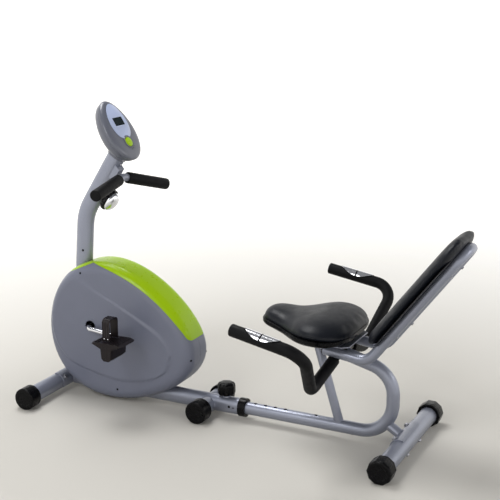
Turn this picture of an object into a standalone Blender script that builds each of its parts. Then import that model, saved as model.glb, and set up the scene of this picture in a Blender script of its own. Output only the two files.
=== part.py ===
"""Recumbent exercise bike, modelled as the separate pieces it is assembled from.

Metres, +Z up. +X is the way the rider faces and +Y is the rider's left. Places along the bike are
stations: distances ahead of the rear stabiliser's axis. ORIGIN_STATION moves the origin to the middle
of the footprint, on the floor.
"""

import math

import bmesh
import bpy
from mathutils import Matrix, Vector

# Placing
ORIGIN_STATION = 0.5469
GAP = 0.0003
SLIP = 0.0005

# Floor frame
MAIN_Z = 0.041
MAIN_WIDTH = 0.046
MAIN_HEIGHT = 0.054
MAIN_WALL = 0.0025
MAIN_REAR = 0.5535
MAIN_FRONT = 1.1825
STABILISER_Z = 0.036
STABILISER_RADIUS = 0.027
STABILISER_WALL = 0.002
STABILISER_REACH = 0.247
CAP_RADIUS = 0.036
CAP_LENGTH = 0.046
CAP_WALL = 0.003
CAP_SIDES = 24
FRONT_STATION = 1.214
MIDDLE_STATION = 0.661
MIDDLE_REACH = 0.102
REAR_CAP_SIDES = 10

# Post
POST_BASE = Vector((1.134, 0.0, 0.405))
POST_BEND = Vector((1.1170, 0.0, 0.617))
POST_TOP = Vector((0.9850, 0.0, 0.8235))
POST_DEPTH = 0.060
POST_WIDTH = 0.042
POST_WALL = 0.002
STUB_RADIUS = 0.0175
STUB_BORE = 0.0150

# Drive
CRANK_STATION = 1.068
CRANK_Z = 0.255
CRANK_LENGTH = 0.1515
CRANK_DROP = math.radians(5.3)
CRANK_BAR = 0.008
CRANK_REACH = 0.100
PULLEY_Y = -0.045
PULLEY_RADIUS = 0.100
FLYWHEEL_STATION = 0.845
FLYWHEEL_Z = 0.207
FLYWHEEL_RADIUS = 0.095
FLYWHEEL_THICKNESS = 0.018
FLYWHEEL_STEP = 0.022
BELT_WIDTH = 0.012
BELT_THICKNESS = 0.0025
IDLER_RADIUS = 0.016
AXLE_RADIUS = 0.006

# Shroud: an egg outline, blunt end forward, in the plane of the wheels
EGG_CENTRE = Vector((0.9700, 0.0, 0.2290))
EGG_LENGTH = 0.2765
EGG_HEIGHT = 0.2250
EGG_TILT = math.radians(9.8)
EGG_BLUNTNESS = 0.23
SHROUD_HALF = 0.066
SHROUD_ROUND = 0.036
SHROUD_WALL = 0.003
SEAM = 0.0006
CRANK_HOLE = 0.0175

# Pedals
PEDAL_Y = 0.166
PEDAL_HALF = 0.044
SPINDLE_RADIUS = 0.0065
STRAP_RISE = 0.0895
STRAP_HALF = 0.030
STRAP_WIDTH = 0.025
STRAP_FORWARD = 0.010
STRAP_THICKNESS = 0.0032

# Seat carriage
SLIDE_RADIUS = 0.020
SLIDE_WALL = 0.002
SLIDE_FRONT = 0.760
PIN_STATION = 0.603
PIN_PITCH = 0.0345
PIN_RADIUS = 0.004
PIN_LIFT = 0.008
LOOP_REAR = 0.0475
LOOP_BEND = 0.100
LOOP_UPPER_BEND = 0.090
RAIL_Y = 0.074
RAIL_RADIUS = 0.0155
THIN_WALL = 0.0015
BACK_ANGLE = math.radians(52.9)
BACK_LENGTH = 0.4376
BACK_FOOT = Vector((0.104, 0.0, 0.289))
BACK_TOP_Y = 0.052
PAD_THICKNESS = 0.033
SADDLE_BASE = 0.3268
HANDLE_RADIUS = 0.0125
FOAM_RADIUS = 0.0180

# Console
CONSOLE_CENTRE = Vector((0.984, 0.0, 0.8925))
CONSOLE_LEAN = math.radians(32)
CONSOLE_HALF_HEIGHT = 0.104
CONSOLE_HALF_WIDTH = 0.075

# Front bar
BAR_MIDDLE = Vector((0.9675, 0.0, 0.7475))
BAR_LEFT = Vector((0.9465, 0.1945, 0.7225))
BAR_RIGHT = Vector((0.9110, -0.1695, 0.7002))
BAR_RADIUS = 0.0125
BAR_FOAM = 0.0185

ROUND = 24
SQUARE = ((-1, -1), (1, -1), (1, 1), (-1, 1))
TUBE_SIDES = 14
UP = Vector((0, 0, 1))
LEFT = Vector((0, 1, 0))
FORWARD = Vector((1, 0, 0))

COLOURS = {
    "grey_paint": ((0.205, 0.212, 0.262), 0.38, 0.75),
    "chrome_plate": ((0.70, 0.70, 0.72), 0.12, 1.0),
    "steel": ((0.42, 0.42, 0.43), 0.35, 1.0),
    "cast_iron": ((0.10, 0.10, 0.105), 0.55, 0.9),
    "grey_plastic": ((0.145, 0.155, 0.195), 0.45, 0.0),
    "lime_plastic": ((0.37, 0.58, 0.005), 0.22, 0.0),
    "black_plastic": ((0.010, 0.010, 0.012), 0.40, 0.0),
    "pale_plastic": ((0.48, 0.53, 0.72), 0.30, 0.0),
    "screen": ((0.003, 0.012, 0.015), 0.10, 0.0),
    "board": ((0.02, 0.12, 0.05), 0.50, 0.0),
    "foam": ((0.012, 0.013, 0.015), 0.80, 0.0),
    "vinyl": ((0.018, 0.020, 0.024), 0.50, 0.0),
    "belt_rubber": ((0.012, 0.012, 0.012), 0.70, 0.0),
}


def at(station, y, z):
    """A point in the part's own frame, from its station."""
    return Vector((station - ORIGIN_STATION, y, z))


def placed(point):
    return at(point.x, point.y, point.z)


def clear_scene():
    for obj in list(bpy.data.objects):
        bpy.data.objects.remove(obj, do_unlink=True)


def material(name):
    found = bpy.data.materials.get(name)
    if found:
        return found
    colour, roughness, metallic = COLOURS[name]
    made = bpy.data.materials.new(name)
    made.use_nodes = True
    shader = made.node_tree.nodes["Principled BSDF"]
    shader.inputs["Base Color"].default_value = (*colour, 1.0)
    shader.inputs["Roughness"].default_value = roughness
    shader.inputs["Metallic"].default_value = metallic
    return made


def solid(name, points, faces, finish=None, origin=None):
    """One closed mesh from world points, its object placed at origin. With no finish it is a cutter."""
    centre = origin if origin is not None else sum(points, Vector()) / len(points)
    mesh = bpy.data.meshes.new(name)
    mesh.from_pydata([tuple(point - centre) for point in points], [], faces)
    shape = bmesh.new()
    shape.from_mesh(mesh)
    bmesh.ops.remove_doubles(shape, verts=shape.verts, dist=1e-6)
    bmesh.ops.recalc_face_normals(shape, faces=shape.faces)
    shape.to_mesh(mesh)
    shape.free()
    mesh.shade_smooth()
    mesh.set_sharp_from_angle(angle=math.radians(35))
    obj = bpy.data.objects.new(name, mesh)
    obj.location = centre
    bpy.context.scene.collection.objects.link(obj)
    if finish:
        mesh.materials.append(material(finish))
    else:
        obj.hide_render = True
        obj.display_type = "WIRE"
    return obj


def change(obj, cutter, operation="DIFFERENCE"):
    step = obj.modifiers.new(operation.title() + " " + cutter.name, "BOOLEAN")
    step.object = cutter
    step.operation = operation
    step.solver = "EXACT"


def loft(rings, looped=False):
    """Points and faces through rings of equal length. Unlooped, the two ends are closed with caps."""
    count = len(rings[0])
    points = [point for ring in rings for point in ring]
    faces = []
    spans = len(rings) if looped else len(rings) - 1
    for row in range(spans):
        low = row * count
        high = ((row + 1) % len(rings)) * count
        for i in range(count):
            j = (i + 1) % count
            faces.append((low + i, low + j, high + j, high + i))
    if not looped:
        faces.append(tuple(reversed(range(count))))
        faces.append(tuple(range(len(points) - count, len(points))))
    return points, faces


def cross_frame(axis, hint=UP):
    """Two unit vectors square to axis and to each other, the second as near to hint as it can be."""
    axis = axis.normalized()
    if abs(axis.dot(hint)) > 0.999:
        hint = FORWARD
    side = hint.cross(axis).normalized()
    return side, axis.cross(side)


def circle(radius, sides=ROUND, flat_down=False):
    turn = math.pi / sides if flat_down else 0.0
    size = radius / math.cos(math.pi / sides) if flat_down else radius
    angles = [2 * math.pi * i / sides + turn - math.pi / 2 for i in range(sides)]
    return [(size * math.cos(a), size * math.sin(a)) for a in angles]


def ellipse(half_a, half_b, sides=ROUND):
    angles = [2 * math.pi * i / sides for i in range(sides)]
    return [(half_a * math.cos(a), half_b * math.sin(a)) for a in angles]


def stadium(width, height, steps=6):
    """A flat-sided oval, taller than wide."""
    radius = width / 2
    straight = height / 2 - radius
    upper = [math.pi * i / steps for i in range(steps + 1)]
    top = [(radius * math.cos(a), straight + radius * math.sin(a)) for a in upper]
    return top + [(-a, -b) for a, b in top]


def ring_at(centre, axis, section, hint=UP):
    side, rise = cross_frame(axis, hint)
    return [centre + side * a + rise * b for a, b in section]


def turned(name, base, axis, profile, finish=None, sides=ROUND, flat_down=False, origin=None):
    """A turned solid: profile is (radius, distance along axis), from one end round to the other."""
    axis = axis.normalized()
    rings = []
    for radius, along in profile:
        section = circle(max(radius, 1e-5), sides, flat_down)
        rings.append(ring_at(base + axis * along, axis, section))
    return solid(name, *loft(rings), finish, origin)


def ringed(name, base, axis, profile, finish=None, sides=ROUND, origin=None):
    """A turned solid with a hole right through it: the profile closes on itself."""
    axis = axis.normalized()
    rings = [ring_at(base + axis * along, axis, circle(radius, sides)) for radius, along in profile]
    return solid(name, *loft(rings, looped=True), finish, origin)


def rod(name, start, end, radius, finish=None, sides=ROUND, origin=None):
    axis = end - start
    return turned(name, start, axis, [(radius, 0), (radius, axis.length)], finish, sides, False, origin)


def box(name, low, high, finish=None, origin=None):
    corners = [(x, y) for x, y in ((0, 0), (1, 0), (1, 1), (0, 1))]
    rings = []
    for k in (0, 1):
        ring = []
        for i, j in corners:
            ring.append(Vector(((low, high)[i].x, (low, high)[j].y, (low, high)[k].z)))
        rings.append(ring)
    return solid(name, *loft(rings), finish, origin)


def prism(name, outline, y_low, y_high, finish=None, origin=None):
    """An outline of (station, z) points pushed through from y_low to y_high."""
    rings = [[at(x, y, z) for x, z in outline] for y in (y_low, y_high)]
    return solid(name, *loft(rings), finish, origin)


def rounded(corners, radii, steps=8):
    """A path through corners, each inner one replaced by an arc of its radius."""
    path = [corners[0]]
    for before, corner, after, radius in zip(corners, corners[1:], corners[2:], radii):
        inward = (before - corner).normalized()
        outward = (after - corner).normalized()
        half = inward.angle(outward) / 2
        reach = radius / math.tan(half)
        middle = corner + (inward + outward).normalized() * (radius / math.sin(half))
        first = corner + inward * reach - middle
        last = corner + outward * reach - middle
        sweep = first.angle(last)
        axis = first.cross(last).normalized()
        for i in range(steps + 1):
            path.append(middle + Matrix.Rotation(sweep * i / steps, 3, axis) @ first)
    path.append(corners[-1])
    return path


def path_frames(path, hint):
    """At each point of a path: the point, and two vectors across it that turn as little as they can."""
    frames = []
    rise = hint
    for i, point in enumerate(path):
        ahead = path[min(i + 1, len(path) - 1)] - point
        behind = point - path[max(i - 1, 0)]
        along = ahead.normalized() + behind.normalized()
        along.normalize()
        rise = (rise - along * rise.dot(along)).normalized()
        bend = 1.0
        if 0 < i < len(path) - 1:
            bend = 1 / max(math.cos(ahead.angle(behind) / 2), 0.7)
        frames.append((point, along.cross(rise), rise, bend))
    return frames


def swept(path, section, hint=LEFT):
    return [[p + side * a + rise * b for a, b in section] for p, side, rise, _ in path_frames(path, hint)]


def bent_rod(name, path, radius, finish, sides=TUBE_SIDES, hint=LEFT, origin=None):
    return solid(name, *loft(swept(path, circle(radius, sides), hint)), finish, origin)


def bent_tube(name, path, outer, inner, finish, hint=LEFT, origin=None):
    """A tube along a path, open at both ends. outer and inner are sections with as many points."""
    outside = swept(path, outer, hint)
    inside = swept(path, inner, hint)
    return solid(name, *loft(outside + list(reversed(inside)), looped=True), finish, origin)


def round_tube(name, path, radius, wall, sides=TUBE_SIDES, hint=UP, finish="grey_paint"):
    return bent_tube(name, path, circle(radius, sides), circle(radius - wall, sides), finish, hint)


def shorten(path, start, end):
    """The same path with its two ends moved inwards along its first and last stretches."""
    first = path[0] + (path[1] - path[0]).normalized() * start
    last = path[-1] + (path[-2] - path[-1]).normalized() * end
    return [first, *path[1:-1], last]


# ---------------------------------------------------------------- floor frame


def end_cap(name, station, side, reach, sides=CAP_SIDES):
    """A cup pushed over a stabiliser's end, with a flat facet on the floor."""
    bore = STABILISER_RADIUS + SLIP
    depth = CAP_LENGTH - CAP_WALL
    start = at(station, side * (reach + CAP_WALL - CAP_LENGTH), STABILISER_Z)
    ease = 0.004
    profile = [
        (bore, depth),
        (bore, 0),
        (CAP_RADIUS - 0.002, 0),
        (CAP_RADIUS, 0.002),
        (CAP_RADIUS, CAP_LENGTH - ease),
        (CAP_RADIUS - ease, CAP_LENGTH),
    ]
    return turned(name, start, LEFT * side, profile, "black_plastic", sides, True, start)


def main_frame():
    """The long oval tube, with the middle stabiliser's two halves welded to its sides."""
    section = stadium(MAIN_WIDTH, MAIN_HEIGHT)
    bore = stadium(MAIN_WIDTH - 2 * MAIN_WALL, MAIN_HEIGHT - 2 * MAIN_WALL)
    ends = [at(MAIN_REAR, 0, MAIN_Z), at(MAIN_FRONT, 0, MAIN_Z)]
    tube = bent_tube("main_frame", ends, section, bore, "grey_paint", UP)
    for side in (1, -1):
        start = at(MIDDLE_STATION, side * (MAIN_WIDTH / 2 - MAIN_WALL / 2), STABILISER_Z)
        end = at(MIDDLE_STATION, side * (MIDDLE_REACH - GAP), STABILISER_Z)
        half = rod("middle_half_join", start, end, STABILISER_RADIUS)
        change(tube, half, "UNION")
    top = MAIN_Z + MAIN_HEIGHT / 2
    boss = rod("pin_boss_join", at(PIN_STATION, 0, top - 0.002), at(PIN_STATION, 0, top + 0.009), 0.0135)
    change(tube, boss, "UNION")
    below = at(PIN_STATION, 0, MAIN_Z + 0.012)
    above = at(PIN_STATION, 0, top + 0.02)
    drill = rod("pin_drill", below, above, 0.0045, sides=12)
    change(tube, drill)


def stabilisers():
    for name, station in (("front_stabiliser", FRONT_STATION), ("rear_stabiliser", 0.0)):
        ends = [at(station, side * (STABILISER_REACH - GAP), STABILISER_Z) for side in (-1, 1)]
        round_tube(name, ends, STABILISER_RADIUS, STABILISER_WALL, 20)
    for side, word in ((1, "left"), (-1, "right")):
        end_cap("front_cap_" + word, FRONT_STATION, side, STABILISER_REACH)
        end_cap("middle_cap_" + word, MIDDLE_STATION, side, MIDDLE_REACH)
        end_cap("rear_cap_" + word, 0.0, side, STABILISER_REACH, REAR_CAP_SIDES)


def cradle_rings(station, start_angle, end_angle, half, steps=10):
    """Sections of a curved plate that lies on a stabiliser, from one edge round to the other."""
    inner = STABILISER_RADIUS + SLIP
    outer = inner + 0.003
    rings = []
    for i in range(steps + 1):
        angle = start_angle + (end_angle - start_angle) * i / steps
        ray = Vector((math.cos(angle), 0, math.sin(angle)))
        centre = at(station, 0, STABILISER_Z)
        edges = ((inner, -half), (outer, -half), (outer, half), (inner, half))
        rings.append([centre + ray * r + LEFT * y for r, y in edges])
    return rings


def cradles():
    rings = cradle_rings(FRONT_STATION, math.radians(75), math.radians(215), 0.070)
    solid("front_cradle", *loft(rings), "grey_paint")
    rings = cradle_rings(0.0, math.radians(-25), math.radians(115), 0.075)
    cradle = solid("rear_cradle", *loft(rings), "grey_paint")
    direction = Vector((0.0768, 0, 0.0850)) - Vector((0, 0, STABILISER_Z))
    reach = direction.normalized()
    start = at(0, 0, STABILISER_Z) + reach * (STABILISER_RADIUS + 0.002)
    neck = rod("rear_neck_join", start, start + reach * 0.048, 0.0155)
    change(cradle, neck, "UNION")
    change(cradle, loop_envelope())


def sleeve_collar():
    """The plastic bush in the main tube's mouth that the slide tube runs in."""
    lip = stadium(MAIN_WIDTH + 0.007, MAIN_HEIGHT + 0.007)
    plug = stadium(MAIN_WIDTH - 2 * MAIN_WALL - 2 * SLIP, MAIN_HEIGHT - 2 * MAIN_WALL - 2 * SLIP)
    bore = ellipse(SLIDE_RADIUS + 0.0013, SLIDE_RADIUS + 0.0013, len(lip))
    mouth = MAIN_REAR - GAP
    stations = [(mouth - 0.024, lip), (mouth, lip), (mouth, plug), (mouth + 0.038, plug)]
    stations += [(mouth + 0.038, bore), (mouth - 0.024, bore)]
    rings = [ring_at(at(x, 0, MAIN_Z), FORWARD, section) for x, section in stations]
    solid("sleeve_collar", *loft(rings, looped=True), "black_plastic")


# ---------------------------------------------------------------- post


def post():
    path = rounded([placed(POST_BASE), placed(POST_BEND), placed(POST_TOP)], [0.16], 6)
    outer = ellipse(POST_WIDTH / 2, POST_DEPTH / 2, 20)
    inner = ellipse(POST_WIDTH / 2 - POST_WALL, POST_DEPTH / 2 - POST_WALL, 20)
    tube = bent_tube("front_post", path, outer, inner, "grey_paint", FORWARD)
    hole = rod("cable_hole", placed(knob_base()), placed(knob_base()) + knob_axis() * 0.05, 0.005, sides=12)
    change(tube, hole)


def stub_line(z):
    """The stub's axis, which carries the post's lower line down to the main tube."""
    slope = (POST_BASE.x - POST_BEND.x) / (POST_BEND.z - POST_BASE.z)
    return at(POST_BASE.x + slope * (POST_BASE.z - z), 0, z)


def post_stub():
    foot = MAIN_Z + MAIN_HEIGHT / 2 + GAP
    path = [stub_line(foot), stub_line(0.505)]
    outer = circle(STUB_RADIUS, 20)
    bore = circle(STUB_BORE, 20)
    tube = bent_tube("post_stub", path, outer, bore, "grey_paint", FORWARD)
    low = stub_line(0.36) + Vector((-0.03, -0.006, 0))
    high = stub_line(0.385) + Vector((0, 0.006, 0))
    window = box("cable_window", low, high)
    change(tube, window)
    below = stub_line(0.05) - Vector((0.05, 0.05, 0))
    trim = box("stub_foot_cut", below, at(POST_BASE.x + 0.08, 0.05, foot))
    change(tube, trim)


def bottom_bracket():
    hub = at(CRANK_STATION, 0, CRANK_Z)
    half = 0.030
    profile = [(0.0225, -half), (0.0225, half), (0.0180, half), (0.0180, -half)]
    shell = ringed("bottom_bracket", hub, LEFT, profile, "grey_paint")
    x_web = stub_line(CRANK_Z).x + ORIGIN_STATION - STUB_RADIUS - 0.002
    outline = [
        (CRANK_STATION + 0.020, CRANK_Z - 0.010),
        (CRANK_STATION + 0.020, CRANK_Z + 0.010),
        (x_web - 0.003, CRANK_Z + 0.035),
        (x_web, CRANK_Z - 0.035),
    ]
    web = prism("web_join", outline, -0.004, 0.004)
    change(shell, web, "UNION")
    for side, word in ((1, "left"), (-1, "right")):
        cup = [(0.0177, -0.012), (0.0177, 0.0), (0.0220, 0.0), (0.0220, 0.0040)]
        cup += [(CRANK_BAR + 0.0004, 0.0040), (CRANK_BAR + 0.0004, -0.012)]
        base = hub + LEFT * side * (half + GAP)
        ringed("bearing_cup_" + word, base, LEFT * side, cup, "steel")


# ---------------------------------------------------------------- console, front bar, tension knob


def post_axis():
    return (POST_TOP - POST_BEND).normalized()


def knob_axis():
    """Square to the post's upper part, towards the rider."""
    along = post_axis()
    return Vector((-along.z, 0, along.x))


def knob_base():
    return POST_BEND + post_axis() * 0.0927


def tension_parts():
    base = placed(knob_base())
    axis = knob_axis()
    foot = POST_DEPTH / 2 - 0.001
    profile = [(0.0175, foot), (0.0190, foot + 0.003), (0.0190, foot + 0.009)]
    block = turned("tension_housing", base, axis, profile, "black_plastic")
    shell = solid("post_envelope", *loft(post_envelope()))
    change(block, shell)
    start = foot + 0.009 + SLIP
    profile = [
        (0.0170, start),
        (0.0285, start + 0.003),
        (0.0300, start + 0.007),
        (0.0300, start + 0.014),
        (0.0270, start + 0.018),
        (0.0205, start + 0.019),
        (0.0195, start + 0.025),
        (0.0160, start + 0.031),
        (0.0090, start + 0.035),
    ]
    turned("tension_knob", base, axis, profile, "black_plastic", 24, False, base)


def post_envelope():
    """The post's outside with a hair of clearance, to cut what lies against it."""
    path = rounded([placed(POST_BASE), placed(POST_BEND), placed(POST_TOP)], [0.16], 6)
    return swept(path, ellipse(POST_WIDTH / 2 + GAP, POST_DEPTH / 2 + GAP, 20), FORWARD)


def front_bar():
    corners = [placed(BAR_LEFT), placed(BAR_MIDDLE), placed(BAR_RIGHT)]
    path = rounded(corners, [0.040], 6)
    bar = shorten(path, 0.004, 0.004)
    round_tube("front_handlebar", bar, BAR_RADIUS, THIN_WALL)
    for word, end, bare in (("left", BAR_LEFT, 0.034), ("right", BAR_RIGHT, 0.014)):
        tip = placed(end)
        axis = placed(BAR_MIDDLE) - tip
        reach = axis.length - bare
        bore = BAR_RADIUS + SLIP
        profile = [(bore, 0.003), (bore, reach), (BAR_FOAM, reach), (BAR_FOAM, 0.003), (BAR_FOAM - 0.003, 0)]
        turned("front_grip_" + word, tip, axis, profile, "foam", 20)


def handlebar_clamp():
    """The block that holds the bar off the post's rear face."""
    middle = placed(BAR_MIDDLE)
    axis = knob_axis()
    base = middle - axis * 0.055 + LEFT * 0.007
    along = post_axis()
    corners = []
    for out, half_y, half_s in ((0.020, 0.017, 0.026), (0.0405, 0.015, 0.020)):
        centre = base + axis * out
        corners.append([centre + LEFT * half_y * a + along * half_s * b for a, b in SQUARE])
    block = solid("handlebar_clamp", *loft(corners), "grey_paint")
    change(block, solid("post_envelope_b", *loft(post_envelope())))
    bar = rounded([placed(BAR_LEFT), placed(BAR_MIDDLE), placed(BAR_RIGHT)], [0.040], 6)
    change(block, solid("bar_envelope", *loft(swept(bar, circle(BAR_RADIUS + GAP, TUBE_SIDES), UP))))


def console_up():
    return Vector((math.sin(CONSOLE_LEAN), 0, math.cos(CONSOLE_LEAN)))


def console_out():
    """The way the console's face looks: at the rider and up."""
    return Vector((-math.cos(CONSOLE_LEAN), 0, math.sin(CONSOLE_LEAN)))


def console_ring(scale, depth, sides=32, shift=0.0):
    """The console's egg outline, wider at its foot, at a depth along its face's normal."""
    centre = placed(CONSOLE_CENTRE) + console_out() * depth + console_up() * shift
    points = []
    for i in range(sides):
        angle = 2 * math.pi * i / sides
        rise = math.sin(angle)
        wide = CONSOLE_HALF_WIDTH * math.cos(angle) * (1 - 0.13 * rise)
        points.append(centre + LEFT * wide * scale + console_up() * CONSOLE_HALF_HEIGHT * rise * scale)
    return points


def console():
    """A dished back shell and a face bezel, with a board, a panel, a screen and a button between."""
    outer = [(0.52, -0.034), (0.80, -0.030), (0.95, -0.016), (0.985, -0.0005)]
    inner = [(0.945, -0.0005), (0.905, -0.015), (0.76, -0.0265), (0.50, -0.0305)]
    back = [console_ring(scale, depth) for scale, depth in outer + inner]
    points, faces = loft(back)
    shell = solid("console_back", points, faces, "grey_plastic")
    neck_low = placed(POST_TOP) - post_axis() * 0.012
    neck_top = placed(POST_TOP) + post_axis() * 0.034
    neck = ellipse(POST_WIDTH / 2 + 0.004, POST_DEPTH / 2 + 0.003)
    rings = [ring_at(point, post_axis(), neck, FORWARD) for point in (neck_low, neck_top)]
    change(shell, solid("neck_join", *loft(rings)), "UNION")
    room = [(0.49, -0.0290), (0.745, -0.0252), (0.885, -0.0140), (0.93, 0.03)]
    change(shell, solid("console_room", *loft([console_ring(scale, depth) for scale, depth in room])))
    socket = ellipse(POST_WIDTH / 2 + GAP, POST_DEPTH / 2 + GAP)
    ends = (neck_low - post_axis() * 0.01, placed(POST_TOP) + post_axis() * GAP)
    rings = [ring_at(point, post_axis(), socket, FORWARD) for point in ends]
    change(shell, solid("post_socket", *loft(rings)))
    face = [(0.55, 0.0132), (0.84, 0.0122), (0.93, 0.0040), (0.94, 0.0), (0.985, 0.0)]
    face += [(1.0, 0.0040), (0.97, 0.0110), (0.88, 0.0155), (0.60, 0.0165)]
    front = solid("console_front", *loft([console_ring(s, d) for s, d in face]), "grey_plastic")
    button = placed(CONSOLE_CENTRE) - console_up() * 0.047
    change(front, rod("button_hole", button, button + console_out() * 0.03, 0.0148))
    panel_rings = [console_ring(0.60, depth, shift=0.026) for depth in (0.0168, 0.0184)]
    panel = solid("console_panel", *loft(panel_rings), "pale_plastic")
    change(panel, rod("button_relief", button, button + console_out() * 0.03, 0.0205))
    window = placed(CONSOLE_CENTRE) + console_up() * 0.025
    plate("lcd_screen", window, 0.029, 0.0125, 0.0187, 0.0199, "screen")
    plate("circuit_board", placed(CONSOLE_CENTRE), 0.045, 0.045, -0.0040, -0.0024, "board")
    profile = [(0.0120, 0.0050), (0.0120, 0.0085), (0.0140, 0.0085), (0.0140, 0.0190), (0.0125, 0.0202)]
    turned("console_button", button, console_out(), profile, "lime_plastic", 24, False, button)


def plate(name, centre, half_y, half_up, low, high, finish):
    rings = []
    for depth in (low, high):
        middle = centre + console_out() * depth
        rings.append([middle + LEFT * half_y * a + console_up() * half_up * b for a, b in SQUARE])
    return solid(name, *loft(rings), finish)


# ---------------------------------------------------------------- shroud


def egg(inset, sides=48):
    """The shroud's outline as (station, z) points, moved inwards by inset."""
    points = []
    for i in range(sides):
        angle = 2 * math.pi * i / sides
        along = EGG_LENGTH * math.cos(angle)
        across = EGG_HEIGHT * math.sin(angle) * (1 + EGG_BLUNTNESS * math.cos(angle))
        d_along = -EGG_LENGTH * math.sin(angle)
        d_across = EGG_HEIGHT * (math.cos(angle) + EGG_BLUNTNESS * math.cos(2 * angle))
        size = math.hypot(d_along, d_across)
        along -= inset * d_across / size
        across += inset * d_along / size
        x = EGG_CENTRE.x + along * math.cos(EGG_TILT) - across * math.sin(EGG_TILT)
        z = EGG_CENTRE.z + along * math.sin(EGG_TILT) + across * math.cos(EGG_TILT)
        points.append((x, z))
    return points


def egg_levels(half, radius, steps=4):
    """(y, inset) pairs from the middle plane to the side face, over the rounded shoulder."""
    levels = []
    for i in range(steps + 1):
        angle = math.pi / 2 * i / steps
        levels.append((half - radius + radius * math.sin(angle), radius * (1 - math.cos(angle))))
    return levels


def both_sides(levels):
    """Levels that run from the right face, over the middle, to the left face."""
    return [(-y, inset) for y, inset in reversed(levels)] + levels


def egg_rings(levels, side=1, extra=0.0):
    return [[at(x, side * y, z) for x, z in egg(inset + extra)] for y, inset in levels]


def half_shell(side, first_y):
    """One moulded half: from the middle of its outer face to the seam, and back along its inside."""
    outside = [(first_y, 0.0), *egg_levels(SHROUD_HALF, SHROUD_ROUND)]
    inner_levels = egg_levels(SHROUD_HALF - SHROUD_WALL, SHROUD_ROUND - SHROUD_WALL)
    inside = [(first_y, 0.0), *inner_levels]
    return egg_rings(reversed(outside), side) + egg_rings(inside, side, SHROUD_WALL)


def cover_outline(slack):
    """The side view of the lime cover's region: a thin strip at the post, then a long crescent."""
    notch = Vector((1.064, 0, 0.4605 + slack))
    rear = Vector((0.704, 0, 0.2430 + slack))
    chord = rear - notch
    sag = LEFT.cross(chord).normalized() * 0.044
    points = [(1.205, 0.398 + slack), (notch.x, notch.z)]
    for i in range(1, 12):
        t = i / 12
        point = notch + chord * t + sag * 4 * t * (1 - t)
        points.append((point.x, point.z))
    points += [(rear.x, rear.z), (0.690, 0.2325 + slack), (0.672, 0.2290 + slack), (0.640, 0.2320 + slack)]
    return points + [(0.55, 0.30), (0.55, 0.56), (1.205, 0.56)]


def shroud():
    for side, word in ((1, "left"), (-1, "right")):
        shell = solid(word + "_shroud", *loft(half_shell(side, SEAM / 2)), "grey_plastic")
        change(shell, prism("cover_region_" + word, cover_outline(-SEAM), -0.1, 0.1))
        hub = at(CRANK_STATION, side * 0.05, CRANK_Z)
        change(shell, rod("crank_hole_" + word, hub, hub + LEFT * side * 0.04, CRANK_HOLE))
        change(shell, frame_cutter("frame_room_" + word))
        change(shell, stub_room("post_room_" + word))
    levels = both_sides(egg_levels(SHROUD_HALF, SHROUD_ROUND))
    hollow = both_sides(egg_levels(SHROUD_HALF - SHROUD_WALL, SHROUD_ROUND - SHROUD_WALL))
    cover = solid("top_cover", *loft(egg_rings(levels)), "lime_plastic")
    change(cover, prism("cover_region", cover_outline(0), -0.1, 0.1), "INTERSECT")
    change(cover, solid("cover_hollow", *loft(egg_rings(hollow, 1, SHROUD_WALL))))
    change(cover, stub_room("post_room_cover"))


def frame_cutter(name):
    """Room for the main tube where it passes out of the shroud at both ends."""
    section = stadium(MAIN_WIDTH + 0.004, MAIN_HEIGHT + 0.004)
    ends = [at(0.60, 0, MAIN_Z), at(1.30, 0, MAIN_Z)]
    return solid(name, *loft(swept(ends, section, UP)))


def stub_room(name):
    """Room for the post where it comes down into the shroud."""
    section = ellipse(POST_WIDTH / 2 + 0.0015, POST_DEPTH / 2 + 0.0015)
    return solid(name, *loft(swept([stub_line(0.37), stub_line(0.60)], section, FORWARD)))


# ---------------------------------------------------------------- drive


def crank_direction():
    return Vector((-math.cos(CRANK_DROP), 0, -math.sin(CRANK_DROP)))


def crank():
    """One forged bar: an arm, the axle through the bracket, and the opposite arm."""
    hub = at(CRANK_STATION, 0, CRANK_Z)
    arm = crank_direction()
    over = CRANK_LENGTH + 0.011
    corners = [
        hub + arm * over + LEFT * CRANK_REACH,
        hub + LEFT * (CRANK_REACH - 0.008),
        hub - LEFT * (CRANK_REACH - 0.008),
        hub - arm * over - LEFT * CRANK_REACH,
    ]
    bent_rod("crank", rounded(corners, [0.020, 0.020], 6), CRANK_BAR, "chrome_plate", 16, LEFT, hub)


def pulley_profile(radius, half, bore):
    rim = 0.012
    web = 0.002
    hub = bore + 0.010
    return [
        (bore, -half),
        (hub, -half),
        (hub, -web),
        (radius - rim, -web),
        (radius - rim, -half),
        (radius, -half),
        (radius, half),
        (radius - rim, half),
        (radius - rim, web),
        (hub, web),
        (hub, half),
        (bore, half),
    ]


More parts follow.
